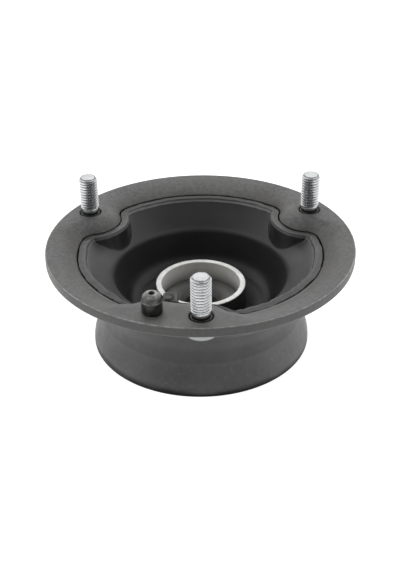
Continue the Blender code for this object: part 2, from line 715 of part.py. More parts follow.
def make_retaining_ring():
    """Open snap ring in the housing's groove, with an eye at each end for pliers."""
    outer = RACE_OUTER_RADIUS + RETAINER_SEAT_DEPTH
    inner = outer - RETAINER_WIDTH
    ear_swing = degrees(RETAINER_EAR_RADIUS / inner)
    start = RETAINER_GAP_ANGLE / 2 - 90
    end = 270 - RETAINER_GAP_ANGLE / 2
    ears = (start + ear_swing, end - ear_swing)
    steps = TURN_STEPS - 2
    outline_points = [polar(outer, start + (end - start) * i / steps) for i in range(steps + 1)]
    outline_points += ear_points(ears[1], inner)
    inner_end = end - 2 * ear_swing
    inner_start = start + 2 * ear_swing
    for i in range(1, steps):
        outline_points.append(polar(inner, inner_end + (inner_start - inner_end) * i / steps))
    outline_points += ear_points(ears[0], inner)
    bm = bmesh.new()
    face = bm.faces.new([bm.verts.new((*point, RETAINER_BOTTOM)) for point in outline_points])
    raised = bmesh.ops.extrude_face_region(bm, geom=[face])["geom"]
    for item in raised:
        if isinstance(item, bmesh.types.BMVert):
            item.co.z = RETAINER_TOP
    ring = add_object("retaining_ring", bm, "spring_steel")
    for name, angle in zip(("eye_right", "eye_left"), ears):
        low = RETAINER_BOTTOM - RETAINER_THICKNESS
        high = RETAINER_TOP + RETAINER_THICKNESS
        cut_with(ring, cylinder_cutter(name, RETAINER_EYE_RADIUS, low, high, polar(inner, angle), 10))


def build():
    clear_scene()
    spin_axis = add_axis("bearing_spin_axis", BALL_HEIGHT)
    orbit_axis = add_axis("cage_orbit_axis", BALL_HEIGHT)
    make_mounting_plate()
    for name, angle in STUD_ANGLES.items():
        make_stud(name, angle)
    make_locating_pin()
    make_rubber_isolator()
    make_lower_skirt()
    make_bearing_housing()
    make_races(spin_axis)
    make_shields()
    make_balls_and_cage(orbit_axis)
    make_rod_hub(spin_axis)
    make_retaining_ring()
    bpy.context.view_layer.update()


build()
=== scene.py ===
"""Looks of the strut mount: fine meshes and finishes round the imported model, with a studio and a camera.

Lengths are in metres and angles in degrees. The skirt's rim lies at height 0, and the front stud points
along -Y.
"""

from math import acos, atan2, copysign, cos, degrees, hypot, pi, radians, sin, sqrt

import bmesh
import bpy
from mathutils import Matrix, Vector, noise


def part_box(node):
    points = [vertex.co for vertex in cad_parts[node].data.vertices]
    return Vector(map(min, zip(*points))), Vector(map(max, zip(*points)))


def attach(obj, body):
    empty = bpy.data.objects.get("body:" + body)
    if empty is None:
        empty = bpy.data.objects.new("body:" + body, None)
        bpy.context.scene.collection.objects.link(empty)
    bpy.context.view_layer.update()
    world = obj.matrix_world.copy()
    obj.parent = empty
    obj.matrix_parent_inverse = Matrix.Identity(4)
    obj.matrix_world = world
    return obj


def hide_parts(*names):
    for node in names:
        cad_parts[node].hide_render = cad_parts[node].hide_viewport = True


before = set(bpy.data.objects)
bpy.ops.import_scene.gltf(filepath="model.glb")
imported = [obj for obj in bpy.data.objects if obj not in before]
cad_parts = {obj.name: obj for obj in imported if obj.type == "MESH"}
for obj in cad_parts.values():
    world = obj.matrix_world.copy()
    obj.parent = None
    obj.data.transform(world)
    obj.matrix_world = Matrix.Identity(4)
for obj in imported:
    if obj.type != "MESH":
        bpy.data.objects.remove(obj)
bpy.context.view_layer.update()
MM = 0.001

# Camera, as fitted to the photograph
IMAGE_SIZE = (400, 570)
FOCAL_PIXELS = 966.2
CAMERA_DISTANCE = 0.41985
CAMERA_ELEVATION = 31.895
CAMERA_ROLL = 0.692
CAMERA_TARGET = Vector((-0.00033, 0, 0.02423))
SENSOR_WIDTH = 36.0

# Studio. A ramp over a direction's y or z gives its two ends and the brightness at each
SKY_LIGHT = (-0.8, 0.2, 0.14, 0.52)
SKY_SHINE = (-0.9, -0.45, 0.24, 1.0)
ZENITH_SHINE = (0.68, 0.98, 1.0, 0.18)
FLOOR_HALF = 6.0
FLOOR_GLOW = 0.88
LAMP_TARGET = Vector((0, 0, 0.02))
LAMPS = (
    ("left_box", (-1.1, -0.05, 0.45), (0.8, 0.6), 5.4),
    ("right_box", (1.1, -0.05, 0.42), (0.8, 0.6), 4.9),
    ("rear_box", (0.0, 0.7, 1.15), (1.2, 0.7), 8.6),
)


def width(node):
    low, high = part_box(node)
    return high.x - low.x


def bottom(node):
    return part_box(node)[0].z


def top(node):
    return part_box(node)[1].z


def centre(node):
    low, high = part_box(node)
    return (low.x + high.x) / 2, (low.y + high.y) / 2


# Sizes read from the frame
FLANGE_RADIUS = -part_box("mounting_plate")[0].y
FLANGE_TOP = top("mounting_plate")
PLATE_FOOT = bottom("mounting_plate")
SKIRT_RIM_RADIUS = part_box("lower_skirt")[1].x
SKIRT_TOP = top("lower_skirt")
HOUSING_RADIUS = width("bearing_housing") / 2
HOUSING_FOOT = bottom("bearing_housing")
SLEEVE_TOP = top("bearing_housing")
RACE_BOTTOM = bottom("bearing_outer_race")
RACE_TOP = top("bearing_outer_race")
RACE_OUTER_RADIUS = width("bearing_outer_race") / 2
HUB_TOP = top("rod_hub")
HUB_BOTTOM = bottom("rod_hub")
HUB_FLANGE_RADIUS = width("rod_hub") / 2
RUBBER_FOOT = bottom("rubber_isolator")
STUD_TOP = top("stud_front")
STUD_HEAD_BOTTOM = bottom("stud_front")
STUD_HEAD_RADIUS = width("stud_front") / 2
STUD_CIRCLE_RADIUS = hypot(*centre("stud_front"))
PIN_CENTRE = centre("locating_pin")
PIN_TOP = top("locating_pin")
PIN_FOOT = bottom("locating_pin")

# Plate
PLATE_THICKNESS = 4.2 * MM
FLANGE_UNDERSIDE = FLANGE_TOP - PLATE_THICKNESS
OPENING_RADIUS = 52.2 * MM
OPENING_DROP = 4.3 * MM
LOBE_RADIUS = 13.3 * MM
LOBE_FILLET = 6.5 * MM
PAD_BEND_WIDTH = 7.5 * MM
RIM_EDGE = 0.7 * MM
NECK_RADIUS = 43.3 * MM
SKIRT_WALL = 3.6 * MM
STUD_ANGLES = (30.0, 150.0, 270.0)
PIN_ANGLE = 251.0
# Angles that each lobe's centre runs through. The front lobe also carries the locating pin
LOBE_SPANS = [(angle, angle) for angle in STUD_ANGLES[:2]] + [(PIN_ANGLE, STUD_ANGLES[2])]
STUD_HOLE_RADIUS = 4.75 * MM
PIN_HOLE_RADIUS = 3.2 * MM
HOLE_EDGE = 0.35 * MM

# Rubber
BAND_HEIGHT = 2.7 * MM
BAND_LEAN = 1.1 * MM
SLOPE_FOOT_RADIUS = 37.2 * MM
SLOPE_FOOT = 30.0 * MM
CREASE_HEIGHT = 31.2 * MM
LIP_WIDTH = 3.3 * MM
LIP_HEIGHT = 1.1 * MM
LIP_BULGE = 0.25 * MM
WALL_FOOT_RADIUS = 31.6 * MM
FLOOR_EDGE_RADIUS = 27.6 * MM
RUBBER_COVER = 2.9 * MM
SEAT_GAP = 0.3 * MM
FLASH_GAP = 0.46 * MM
FLASH_GAP_SWAY = 0.26 * MM
FLASH_DEPTH = 1.1 * MM
NUB_SIZE = (6.2 * MM, 9.0 * MM)
NUB_CENTRE = (-11.95 * MM, -38.3 * MM)
NUB_DROP = 3.3 * MM
NUB_ROUNDNESS = 0.4
BUTTON_CENTRE = (-12.75 * MM, -39.3 * MM)
BUTTON_RADIUS = 1.45 * MM
BUTTON_HEIGHT = 0.75 * MM

# Studs and pin
THREAD_RADIUS = 4.0 * MM
THREAD_PITCH = 1.25 * MM
THREAD_DEPTH = 0.72 * MM
TIP_RADIUS = 3.25 * MM
COLLAR_RADIUS = 3.6 * MM
COLLAR_TOP = FLANGE_TOP + 1.9 * MM
SHOULDER_RADIUS = 4.35 * MM
SHOULDER_TOP = FLANGE_TOP - 0.3 * MM
HEAD_TOP = FLANGE_UNDERSIDE - SEAT_GAP
PIN_RADIUS = 4.08 * MM
PIN_BODY_HEIGHT = 5.3 * MM
PIN_TIP_RADIUS = 2.1 * MM
PIN_HOLE_IN_TIP = 1.25 * MM

# Facets of the fine meshes
ARC_STEPS = 64
FILLET_STEPS = 14
LOBE_STEPS = 14
PIN_LOBE_STEPS = 16
TURN_STEPS = 192
THREAD_STEPS = 56
THREAD_ROWS = 10
NUB_STEPS = 48
SHARP_ANGLE = radians(38)


# Small helpers

def polar(radius, angle):
    return radius * cos(radians(angle)), radius * sin(radians(angle))


def direction(start, end):
    return degrees(atan2(end[1] - start[1], end[0] - start[0]))


def clamp(value):
    return min(max(value, 0.0), 1.0)


def smooth(value):
    value = clamp(value)
    return value * value * (3 - 2 * value)


def around(angle, detail, seed):
    """Smooth noise from about -1 to 1 that closes on itself after a full turn."""
    place = Vector((detail * cos(radians(angle)), detail * sin(radians(angle)), seed))
    return noise.noise(place) * 1.6


def linked(name, data):
    """A new object in the scene that shows the given data."""
    made = bpy.data.objects.new(name, data)
    bpy.context.collection.objects.link(made)
    return made


def mesh_from(name, bm):
    mesh = bpy.data.meshes.new(name)
    bm.to_mesh(mesh)
    bm.free()
    return mesh


def add_piece(name, bm, body, slot, finish, *nodes):
    bmesh.ops.recalc_face_normals(bm, faces=bm.faces)
    mesh = mesh_from(name, bm)
    mesh.shade_smooth()
    mesh.set_sharp_from_angle(angle=SHARP_ANGLE)
    mesh.materials.append(finish.material)
    piece = linked(name, mesh)
    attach(piece, body)
    if nodes:
        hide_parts(*nodes)
    return piece


def bridge(bm, loops, closed=False):
    """Faces between loops of vertices, each with the next, and the last with the first if closed."""
    following = loops[1:] + loops[:1] if closed else loops[1:]
    for loop_a, loop_b in zip(loops, following):
        for i in range(len(loop_a)):
            j = (i + 1) % len(loop_a)
            bm.faces.new((loop_a[i], loop_a[j], loop_b[j], loop_b[i]))


def turned(profile, steps=TURN_STEPS, closed=True, place=(0, 0)):
    """Spin a profile of (radius, height) about an upright line. An open one starts and ends on the line."""
    bm = bmesh.new()
    verts = [bm.verts.new((place[0] + radius, place[1], height)) for radius, height in profile]
    pairs = list(zip(verts, verts[1:]))
    if closed:
        pairs.append((verts[-1], verts[0]))
    edges = [bm.edges.new(pair) for pair in pairs]
    bmesh.ops.spin(bm, geom=verts + edges, cent=(*place, 0), axis=(0, 0, 1), angle=2 * pi, steps=steps,
                   use_merge=True)
    bmesh.ops.remove_doubles(bm, verts=bm.verts, dist=0.001 * MM)
    return bm


def eased(points, steps=4):
    """A profile whose corners are rounded. Each point is (radius, height, rounding); 0 keeps it sharp."""
    made = []
    for index, (radius, height, rounding) in enumerate(points):
        if rounding == 0:
            made.append((radius, height))
            continue
        here = Vector((radius, height))
        before = Vector(points[index - 1][:2]) - here
        after = Vector(points[(index + 1) % len(points)][:2]) - here
        reach = min(rounding, before.length * 0.49, after.length * 0.49)
        start = here + before.normalized() * reach
        end = here + after.normalized() * reach
        for step in range(steps + 1):
            share = step / steps
            point = start.lerp(here, share).lerp(here.lerp(end, share), share)
            made.append((point.x, point.y))
    return made


# Outline of the dished opening

def stepped(start, end, steps):
    return [start + (end - start) * step / steps for step in range(steps)]


def arc_points(middle, radius, start, end, steps, sign):
    """Points with their normals into the sheet. sign is +1 where the sheet lies outside the arc."""
    points = []
    for angle in stepped(start, end, steps):
        out_x, out_y = polar(1.0, angle)
        place = (middle[0] + radius * out_x, middle[1] + radius * out_y)
        points.append((place, (sign * out_x, sign * out_y)))
    return points


def turn_to(start, end, sense):
    """The angle equal to end that is reached from start by turning in the given sense."""
    while (end - start) * sense < 0:
        end += 360 * sense
    while (end - start) * sense >= 360:
        end -= 360 * sense
    return end


def fillet_swing():
    """Angle at the axis between a lobe's centre and the centre of the fillet beside it."""
    centre_radius = OPENING_RADIUS - LOBE_FILLET
    reach = LOBE_RADIUS + LOBE_FILLET
    sides = STUD_CIRCLE_RADIUS ** 2 + centre_radius ** 2 - reach ** 2
    return degrees(acos(sides / (2 * STUD_CIRCLE_RADIUS * centre_radius)))


def lobe_points(first, last):
    """The outline around one lobe, from its first fillet to its last."""
    swing = fillet_swing()
    fillet_in = polar(OPENING_RADIUS - LOBE_FILLET, first - swing)
    fillet_out = polar(OPENING_RADIUS - LOBE_FILLET, last + swing)
    centre_in = polar(STUD_CIRCLE_RADIUS, first)
    centre_out = polar(STUD_CIRCLE_RADIUS, last)
    meets_in = turn_to(first - swing, direction(fillet_in, centre_in), 1)
    points = arc_points(fillet_in, LOBE_FILLET, first - swing, meets_in, FILLET_STEPS, 1)
    tip_in = turn_to(meets_in + 180, first + 180, -1)
    points += arc_points(centre_in, LOBE_RADIUS, meets_in + 180, tip_in, LOBE_STEPS, -1)
    if last > first:
        tip_radius = STUD_CIRCLE_RADIUS - LOBE_RADIUS
        points += arc_points((0, 0), tip_radius, first, last, PIN_LOBE_STEPS, 1)
    leaves = turn_to(last + 180, direction(centre_out, fillet_out), -1)
    points += arc_points(centre_out, LOBE_RADIUS, last + 180, leaves, LOBE_STEPS, -1)
    ends = turn_to(leaves + 180, last + swing, 1)
    points += arc_points(fillet_out, LOBE_FILLET, leaves + 180, ends, FILLET_STEPS, 1)
    return points


def outline():
    """The opening's edge with its normals, and the angle on the flange's rim that faces each point."""
    swing = fillet_swing()
    points = []
    rim_angles = []
    for index, (first, last) in enumerate(LOBE_SPANS):
        lobe = lobe_points(first, last)
        end = last + swing
        points += lobe
        rim_angles += stepped(first - swing, end, len(lobe))
        following = turn_to(end, LOBE_SPANS[(index + 1) % len(LOBE_SPANS)][0] - swing, 1)
        points += arc_points((0, 0), OPENING_RADIUS, end, following, ARC_STEPS, 1)
        rim_angles += stepped(end, following, ARC_STEPS)
    return points, rim_angles


OUTLINE, RIM_ANGLES = outline()


def offset_ring(distance, height):
    """A ring at a distance from the opening's edge, into the sheet if positive. Both may be functions."""
    ring = []
    for index, ((x, y), (normal_x, normal_y)) in enumerate(OUTLINE):
        reach = distance(index) if callable(distance) else distance
        place = (x + reach * normal_x, y + reach * normal_y)
        ring.append(Vector((*place, height(*place) if callable(height) else height)))
    return ring


def circle_ring(radius, height):
    return [Vector((*polar(radius, angle), height)) for angle in RIM_ANGLES]


def circle_rings(*places):
    return [circle_ring(*place) for place in places]


def between(ring_a, ring_b, share):
    return [a.lerp(b, share) for a, b in zip(ring_a, ring_b)]


def curved(ring_a, corner, ring_b, steps):
    """Rings along a smooth bend from one ring to another, drawn towards the corner ring."""
    rings = []
    for step in range(steps + 1):
        share = step / steps
        rings.append(between(between(ring_a, corner, share), between(corner, ring_b, share), share))
    return rings


def lofted(rings):
    """A closed ring-shaped surface through cross-section rings that return to the first."""
    bm = bmesh.new()
    bridge(bm, [[bm.verts.new(point) for point in ring] for ring in rings], closed=True)
    return bm


# Surfaces of the sheet and the rubber

OPENING_EDGE = FLANGE_TOP - OPENING_DROP
BAND_BOTTOM = OPENING_EDGE - BAND_HEIGHT
LIP_FOOT = OPENING_EDGE - LIP_HEIGHT
LIP_REACH = FLASH_GAP + LIP_WIDTH + 0.7 * MM
CUP_SLOPE = (BAND_BOTTOM - SLOPE_FOOT) / (OPENING_RADIUS - BAND_LEAN - SLOPE_FOOT_RADIUS)
CONE_THICKNESS = PLATE_THICKNESS * sqrt(1 + CUP_SLOPE ** 2)
DISH_WIDTH = FLANGE_RADIUS - OPENING_RADIUS
DISH_SHARES = (1.0, 0.92, 0.84, 0.76, 0.68, 0.6, 0.52, 0.44, 0.36, 0.28, 0.2, 0.13, 0.07, 0.03)
NECK_BORE_RADIUS = NECK_RADIUS - SKIRT_WALL
HOUSING_BORE = RACE_OUTER_RADIUS + SEAT_GAP
WEB_TOP = SLEEVE_TOP - 10.6 * MM
CUP_FLOOR = WEB_TOP + SEAT_GAP + 1.1 * MM
SLEEVE_RADIUS = 19.4 * MM
SLEEVE_BORE_RADIUS = 17.0 * MM


def lobe_distance(x, y):
    """Distance from a point to the nearest lobe's centre, or to the arc that a long lobe follows."""
    nearest = FLANGE_RADIUS
    for first, last in LOBE_SPANS:
        angle = turn_to(first - 180, degrees(atan2(y, x)), 1)
        place = polar(STUD_CIRCLE_RADIUS, min(max(angle, first), last))
        nearest = min(nearest, hypot(x - place[0], y - place[1]))
    return nearest


def pad_blend(x, y):
    """0 on the flat pads round the studs and the pin, rising to 1 midway between the pads."""
    return clamp((lobe_distance(x, y) - LOBE_RADIUS) / (FLANGE_RADIUS - STUD_CIRCLE_RADIUS))


def dish_ring(share, drop=0.0):
    """A ring part of the way across the bend from the opening's edge to the flat of the plate."""
    ring = []
    for (x, y), (normal_x, normal_y) in OUTLINE:
        blend = pad_blend(x, y)
        bend = PAD_BEND_WIDTH + (DISH_WIDTH - PAD_BEND_WIDTH) * blend
        reach = share * min(bend, DISH_WIDTH - 2 * RIM_EDGE)
        place = (x + reach * normal_x, y + reach * normal_y)
        blend = pad_blend(*place)
        bend = PAD_BEND_WIDTH + (DISH_WIDTH - PAD_BEND_WIDTH) * blend
        rise = max(0.0, 1 - reach / bend)
        height = FLANGE_TOP - OPENING_DROP * rise ** (2 - 0.4 * blend)
        ring.append(Vector((*place, height - drop)))
    return ring


def slope_height(x, y):
    return SLOPE_FOOT + CUP_SLOPE * (hypot(x, y) - SLOPE_FOOT_RADIUS)


def rubber_slope(x, y):
    """Height of the cup's slope, from the foot of the lip down to the crease."""
    rise = LIP_FOOT - CREASE_HEIGHT
    run = OPENING_RADIUS - LIP_REACH - SLOPE_FOOT_RADIUS
    return CREASE_HEIGHT + rise / run * (hypot(x, y) - SLOPE_FOOT_RADIUS)


def cone_top(x, y):
    return slope_height(x, y) - RUBBER_COVER


def cone_under(x, y):
    return cone_top(x, y) - CONE_THICKNESS


# Finishes

class Nodes:
    """A node tree with short ways to add and join nodes."""

    def __init__(self, tree):
        self.tree = tree

    def add(self, kind, **settings):
        node = self.tree.nodes.new(kind)
        for key, value in settings.items():
            setattr(node, key, value)
        return node

    def join(self, source, target):
        self.tree.links.new(source, target)

    def split(self, vector):
        """The x, y and z of a vector."""
        node = self.add("ShaderNodeSeparateXYZ")
        self.join(vector, node.inputs["Vector"])
        return node.outputs

    def spread(self, value, low, high, to_low=0.0, to_high=1.0):
        node = self.add("ShaderNodeMapRange", interpolation_type="SMOOTHSTEP")
        for key, number in zip(("From Min", "From Max", "To Min", "To Max"), (low, high, to_low, to_high)):
            node.inputs[key].default_value = number
        self.join(value, node.inputs["Value"])
        return node.outputs["Result"]

    def step(self, value, level, low, high, *ends):
        """A spread between two distances from a level, which are given in millimetres."""
        return self.spread(value, level + low * MM, level + high * MM, *ends)

    def math(self, operation, first, second):
        node = self.add("ShaderNodeMath", operation=operation)
        for value, socket in zip((first, second), node.inputs):
            if isinstance(value, (int, float)):
                socket.default_value = value
            else:
                self.join(value, socket)
        return node.outputs["Value"]

    def times(self, *values):
        """The product of two or more values."""
        product = values[0]
        for value in values[1:]:
            product = self.math("MULTIPLY", product, value)
        return product


class Finish(Nodes):
    """A material under construction, shaded by one Principled shader."""

    def __init__(self, name, roughness, metallic=0.0):
        self.material = bpy.data.materials.new(name)
        self.material.use_nodes = True
        super().__init__(self.material.node_tree)
        self.shader = self.tree.nodes["Principled BSDF"]
        self.shader.inputs["Roughness"].default_value = roughness
        self.shader.inputs["Metallic"].default_value = metallic
        self.place = self.add("ShaderNodeTexCoord").outputs["Object"]
        self.x, self.y, self.z = self.split(self.place)

    def noise(self, scale, detail=3.0, stretch=(1, 1, 1)):
        mapping = self.add("ShaderNodeMapping")
        mapping.inputs["Scale"].default_value = stretch
        self.join(self.place, mapping.inputs["Vector"])
        node = self.add("ShaderNodeTexNoise")
        node.inputs["Scale"].default_value = scale
        node.inputs["Detail"].default_value = detail
        node.inputs["Roughness"].default_value = 0.55
        self.join(mapping.outputs["Vector"], node.inputs["Vector"])
        return node.outputs["Fac"]

    def mix(self, share, first, second):
        """A share of the second colour over the first. A single number stands for a neutral grey."""
        node = self.add("ShaderNodeMix", data_type="RGBA")
        self.join(share, node.inputs["Factor"])
        for value, socket in ((first, node.inputs[6]), (second, node.inputs[7])):
            if isinstance(value, float):
                socket.default_value = (value, value, value, 1.0)
            elif isinstance(value, tuple):
                socket.default_value = (*value, 1.0)
            else:
                self.join(value, socket)
        return node.outputs[2]

    def radius(self):
        square = self.math("ADD", self.times(self.x, self.x), self.times(self.y, self.y))
        return self.math("SQRT", square, 0.0)

    def base(self, share, first, second):
        """Two colours, mixed by a share, as the tone to paint on."""
        self.tone = self.mix(share, first, second)
        self.join(self.tone, self.shader.inputs["Base Color"])

    def paint(self, share, colour):
        """A share of a colour over the tone so far."""
        self.base(share, self.tone, colour)

    def rough(self, source):
        self.join(source, self.shader.inputs["Roughness"])

    def bump(self, height, strength, distance):
        node = self.add("ShaderNodeBump")
        node.inputs["Strength"].default_value = strength
        node.inputs["Distance"].default_value = distance
        self.join(height, node.inputs["Height"])
        self.join(node.outputs["Normal"], self.shader.inputs["Normal"])


def coat_finish():
    """Dark grey coating with a mottled grain, worn to bright metal along the rim's two edges, with painted
    shade at the opening's gap and the rim's side, and painted light at the front edge, front and rear.
    """
    made = Finish("coat", 0.5)
    y, z = made.y, made.z
    cloud = made.noise(45, 4)
    grain = made.noise(1500, 2)
    made.base(made.spread(cloud, 0.3, 0.7), (0.114, 0.112, 0.108), (0.132, 0.133, 0.135))
    made.paint(made.spread(grain, 0.45, 0.75, 0.0, 0.3), 0.24)
    made.paint(made.spread(made.noise(620), 0.40, 0.62, 0.0, 0.62), (0.078, 0.078, 0.076))
    brown = made.times(made.step(z, OPENING_EDGE, -1, 3.6, 1.0, 0.0),
                       made.spread(made.noise(70, 2), 0.35, 0.65, 0.55, 0.95))
    made.paint(brown, (0.058, 0.056, 0.048))
    # Painted shade: a dark line along the opening's edge, away from the front, stands in for the shadow in
    # the gap between plate and rubber.
    ragged = made.math("ADD", z, made.times(made.noise(350), 0.5 * MM))
    seam = made.times(made.step(ragged, OPENING_EDGE, 0.36, 0.52, 1.0, 0.0),
                      made.spread(y, -38 * MM, -22 * MM))
    made.paint(seam, (0.012, 0.012, 0.011))
    # Painted highlight: a lighter line along the opening's edge at the front.
    edge = made.times(made.step(z, OPENING_EDGE, 0.5, 0.9, 0.4, 0.0),
                      made.spread(y, -38 * MM, -22 * MM, 1.0, 0.0))
    made.paint(edge, (0.24, 0.24, 0.235))
    # Painted light: the front and the rear of the flange are lightened.
    pale = (0.19, 0.19, 0.187)
    made.paint(made.spread(y, -58 * MM, -40 * MM, 0.3, 0.0), pale)
    made.paint(made.spread(y, 48 * MM, 60 * MM, 0.0, 0.2), pale)
    rim = made.step(made.radius(), FLANGE_RADIUS, -0.75, -0.3)
    upper = made.step(z, FLANGE_TOP, -0.5, -0.12)
    lower = made.step(z, FLANGE_UNDERSIDE, 0.12, 0.5, 1.0, 0.0)
    # Painted shade: the rim's side face is darkened below its upper edge.
    side = made.step(z, FLANGE_TOP, -0.9, -0.5, 0.25, 0.0)
    made.paint(made.times(rim, side), 0.065)
    worn = made.times(rim, made.math("MAXIMUM", upper, lower),
                      made.spread(made.noise(420), 0.36, 0.64, 0.35, 0.9))
    made.paint(worn, (0.38, 0.38, 0.37))
    made.rough(made.spread(cloud, 0.3, 0.7, 0.44, 0.56))
    made.bump(made.math("ADD", made.times(grain, 0.5), made.noise(380)), 0.45, 0.08 * MM)
    return made


def skirt_finish():
    """The same coating on the skirt, with speckles, faint upright flow marks, a dark foot, painted shade
    round the neck and on the front, and a painted light band at the top.
    """
    made = Finish("skirt_coat", 0.5)
    z = made.z
    cloud = made.noise(38, 4)
    streak = made.noise(160, 3, stretch=(1, 1, 0.18))
    grain = made.noise(1400, 2)
    speckle = made.noise(480)
    made.base(made.spread(cloud, 0.3, 0.7), (0.096, 0.096, 0.097), (0.142, 0.142, 0.143))
    made.paint(made.spread(streak, 0.4, 0.75, 0.0, 0.35), 0.16)
    made.paint(made.spread(grain, 0.5, 0.8, 0.0, 0.25), 0.2)
    made.paint(made.spread(speckle, 0.56, 0.72, 0.0, 0.35), 0.21)
    made.paint(made.spread(speckle, 0.28, 0.44, 0.35, 0.0), 0.06)
    # Painted shade: a dark band round the neck, below the flange.
    neck = made.times(made.spread(z, 13.4 * MM, 14.6 * MM), made.spread(z, 18 * MM, 21.5 * MM, 0.6, 0.0))
    made.paint(neck, 0.065)
    # Painted shade: the front of the skirt is darkened.
    front = made.spread(made.y, -SKIRT_RIM_RADIUS, -0.7 * SKIRT_RIM_RADIUS, 1.0, 0.0)
    made.paint(made.times(front, 0.07), 0.02)
    # The foot is darker towards the rim; the extra darkness at the front is painted shade.
    ragged = made.math("ADD", z, made.times(made.noise(70, 4, stretch=(1, 1, 3)), 3.2 * MM))
    dark_foot = made.times(made.spread(ragged, 2.5 * MM, 6.2 * MM, 0.85, 0.0),
                      made.spread(front, 0.5, 1, 0.25, 1.0))
    made.paint(dark_foot, 0.02)
    # Painted light: a lighter band at the top of the skirt, below the flange.
    made.paint(made.step(z, SKIRT_TOP, -6, -3, 0.0, 0.5), 0.16)
    # Near-black and metallic right at the foot, which also takes out the sheen there.
    made.paint(made.spread(ragged, 2.6 * MM, 5.2 * MM, 0.9, 0.0), 0.006)
    made.join(made.spread(ragged, 2.4 * MM, 5.2 * MM, 0.85, 0.0), made.shader.inputs["Metallic"])
    made.rough(made.spread(streak, 0.3, 0.7, 0.42, 0.56))
    made.bump(made.math("ADD", made.times(grain, 0.5), made.noise(300)), 0.45, 0.08 * MM)
    return made


def rubber_finish():
    """Black rubber with painted light towards the front, a greyer lip round the opening with painted
    highlights, and a dull well darkened with painted shade.
    """
    made = Finish("rubber", 0.45)
    y, z = made.y, made.z
    cloud = made.noise(50, 4)
    grain = made.noise(2200, 2)
    made.base(made.spread(cloud, 0.3, 0.7), (0.020, 0.020, 0.021), (0.027, 0.027, 0.028))
    # Painted light: the front half of the cup is lightened.
    made.paint(made.spread(y, -22 * MM, 18 * MM, 0.9, 0.0), 0.074)
    lip = made.step(z, LIP_FOOT, -0.2, 0.2)
    made.paint(lip, (0.055, 0.055, 0.054))
    # Painted highlight: the lip's crown and its inner side are lightened, most of all on the side at the
    # rear.
    crown = made.step(z, OPENING_EDGE, -0.05, 0.14)
    side = made.step(z, OPENING_EDGE, -0.45, -0.25, 1.0, 0.0)
    light = made.times(lip, made.math("MAXIMUM", crown, side),
                       made.spread(made.noise(60), 0.25, 0.7, 0.6, 1.0))
    rear = made.spread(y, 25 * MM, 38 * MM)
    made.paint(light, made.mix(rear, (0.088, 0.088, 0.087), (0.06, 0.06, 0.059)))
    made.paint(made.times(lip, side, rear), (0.2, 0.2, 0.197))
    # Painted shade: the well below the crease is darkened nearly to black; the same mask also dulls the well.
    well_shade = made.step(z, CREASE_HEIGHT, -1.4, 0.8, 1.0, 0.0)
    made.paint(well_shade, 0.005)
    wall = made.times(well_shade, made.step(z, CUP_FLOOR, 1.5, 5, 0.06, 0.5))
    floor = made.step(made.radius(), SLEEVE_RADIUS, 1, 8, 0.4, 0.0)
    made.rough(made.math("ADD", made.spread(cloud, 0.3, 0.7, 0.27, 0.37), made.math("MAXIMUM", wall, floor)))
    made.bump(made.math("ADD", made.times(grain, 0.4), made.noise(250)), 0.2, 0.05 * MM)
    return made


def nub_finish():
    """The block beside the locating pin, in a greyer rubber, with painted shade on its sides and round the
    foot of its button.
    """
    made = Finish("nub_rubber", 0.5)
    cloud = made.noise(300, 4)
    made.base(made.spread(cloud, 0.3, 0.7), (0.050, 0.050, 0.049), (0.078, 0.078, 0.076))
    face = FLANGE_TOP - NUB_DROP
    # Painted shade: below the top face, the nub's sides and the sunk ring round the button are near-black.
    made.base(made.step(made.z, face, -0.45, -0.12), 0.008, made.tone)
    made.rough(made.spread(cloud, 0.3, 0.7, 0.42, 0.58))
    made.bump(made.noise(500), 0.25, 0.06 * MM)
    return made


def sleeve_finish():
    """Turned sleeve with a bright rim, whose bore is painted darker downwards as painted shade, and whose
    outside is dark.
    """
    made = Finish("sleeve", 0.36, metallic=0.2)
    lines = made.noise(1.0, 2, stretch=(30, 30, 1500))
    cloud = made.noise(220)
    # Painted shade: the bore darkens from the rim down towards the web.
    depth = made.spread(made.z, WEB_TOP + 1 * MM, SLEEVE_TOP - 2 * MM)
    made.base(depth, (0.28, 0.277, 0.265), (0.82, 0.81, 0.77))
    made.paint(made.spread(cloud, 0.35, 0.65, 0.0, 0.2), (0.4, 0.395, 0.375))
    # The outside is painted dark.
    outside = made.step(made.radius(), SLEEVE_RADIUS, -0.4, -0.15)
    made.paint(outside, 0.05)
    rim = made.step(made.z, SLEEVE_TOP, -0.45, -0.2)
    face = made.mix(made.spread(made.noise(300), 0.35, 0.65), (0.90, 0.90, 0.88), (0.74, 0.74, 0.72))
    made.paint(rim, face)
    made.rough(made.spread(cloud, 0.3, 0.7, 0.32, 0.46))
    made.bump(lines, 0.15, 0.02 * MM)
    return made


def zinc_finish():
    """Bright zinc on the studs, with painted shade in the thread's grooves and round each stud's foot."""
    made = Finish("zinc", 0.2, metallic=0.9)
    z = made.z
    cloud = made.noise(260)
    made.base(made.spread(cloud, 0.35, 0.65), (0.78, 0.795, 0.80), (0.68, 0.70, 0.71))
    # Painted shade: the thread's grooves are darkened.
    groove = made.add("ShaderNodeAttribute", attribute_name="groove").outputs["Fac"]
    made.paint(made.spread(groove, 0.35, 0.95, 0.0, 0.85), (0.16, 0.165, 0.165))
    # Painted shade: the shoulder and collar at each stud's foot are darkened.
    foot = made.times(made.step(z, HEAD_TOP, 0.3, 0.8),
                      made.spread(z, FLANGE_TOP + 0.6 * MM, COLLAR_TOP, 1.0, 0.0))
    made.paint(foot, (0.075, 0.074, 0.071))
    head = made.step(z, HEAD_TOP, 0, 0.3, 1.0, 0.0)
    made.paint(head, (0.34, 0.345, 0.345))
    made.rough(made.math("ADD", made.spread(cloud, 0.3, 0.7, 0.16, 0.26), made.times(head, 0.25)))
    return made


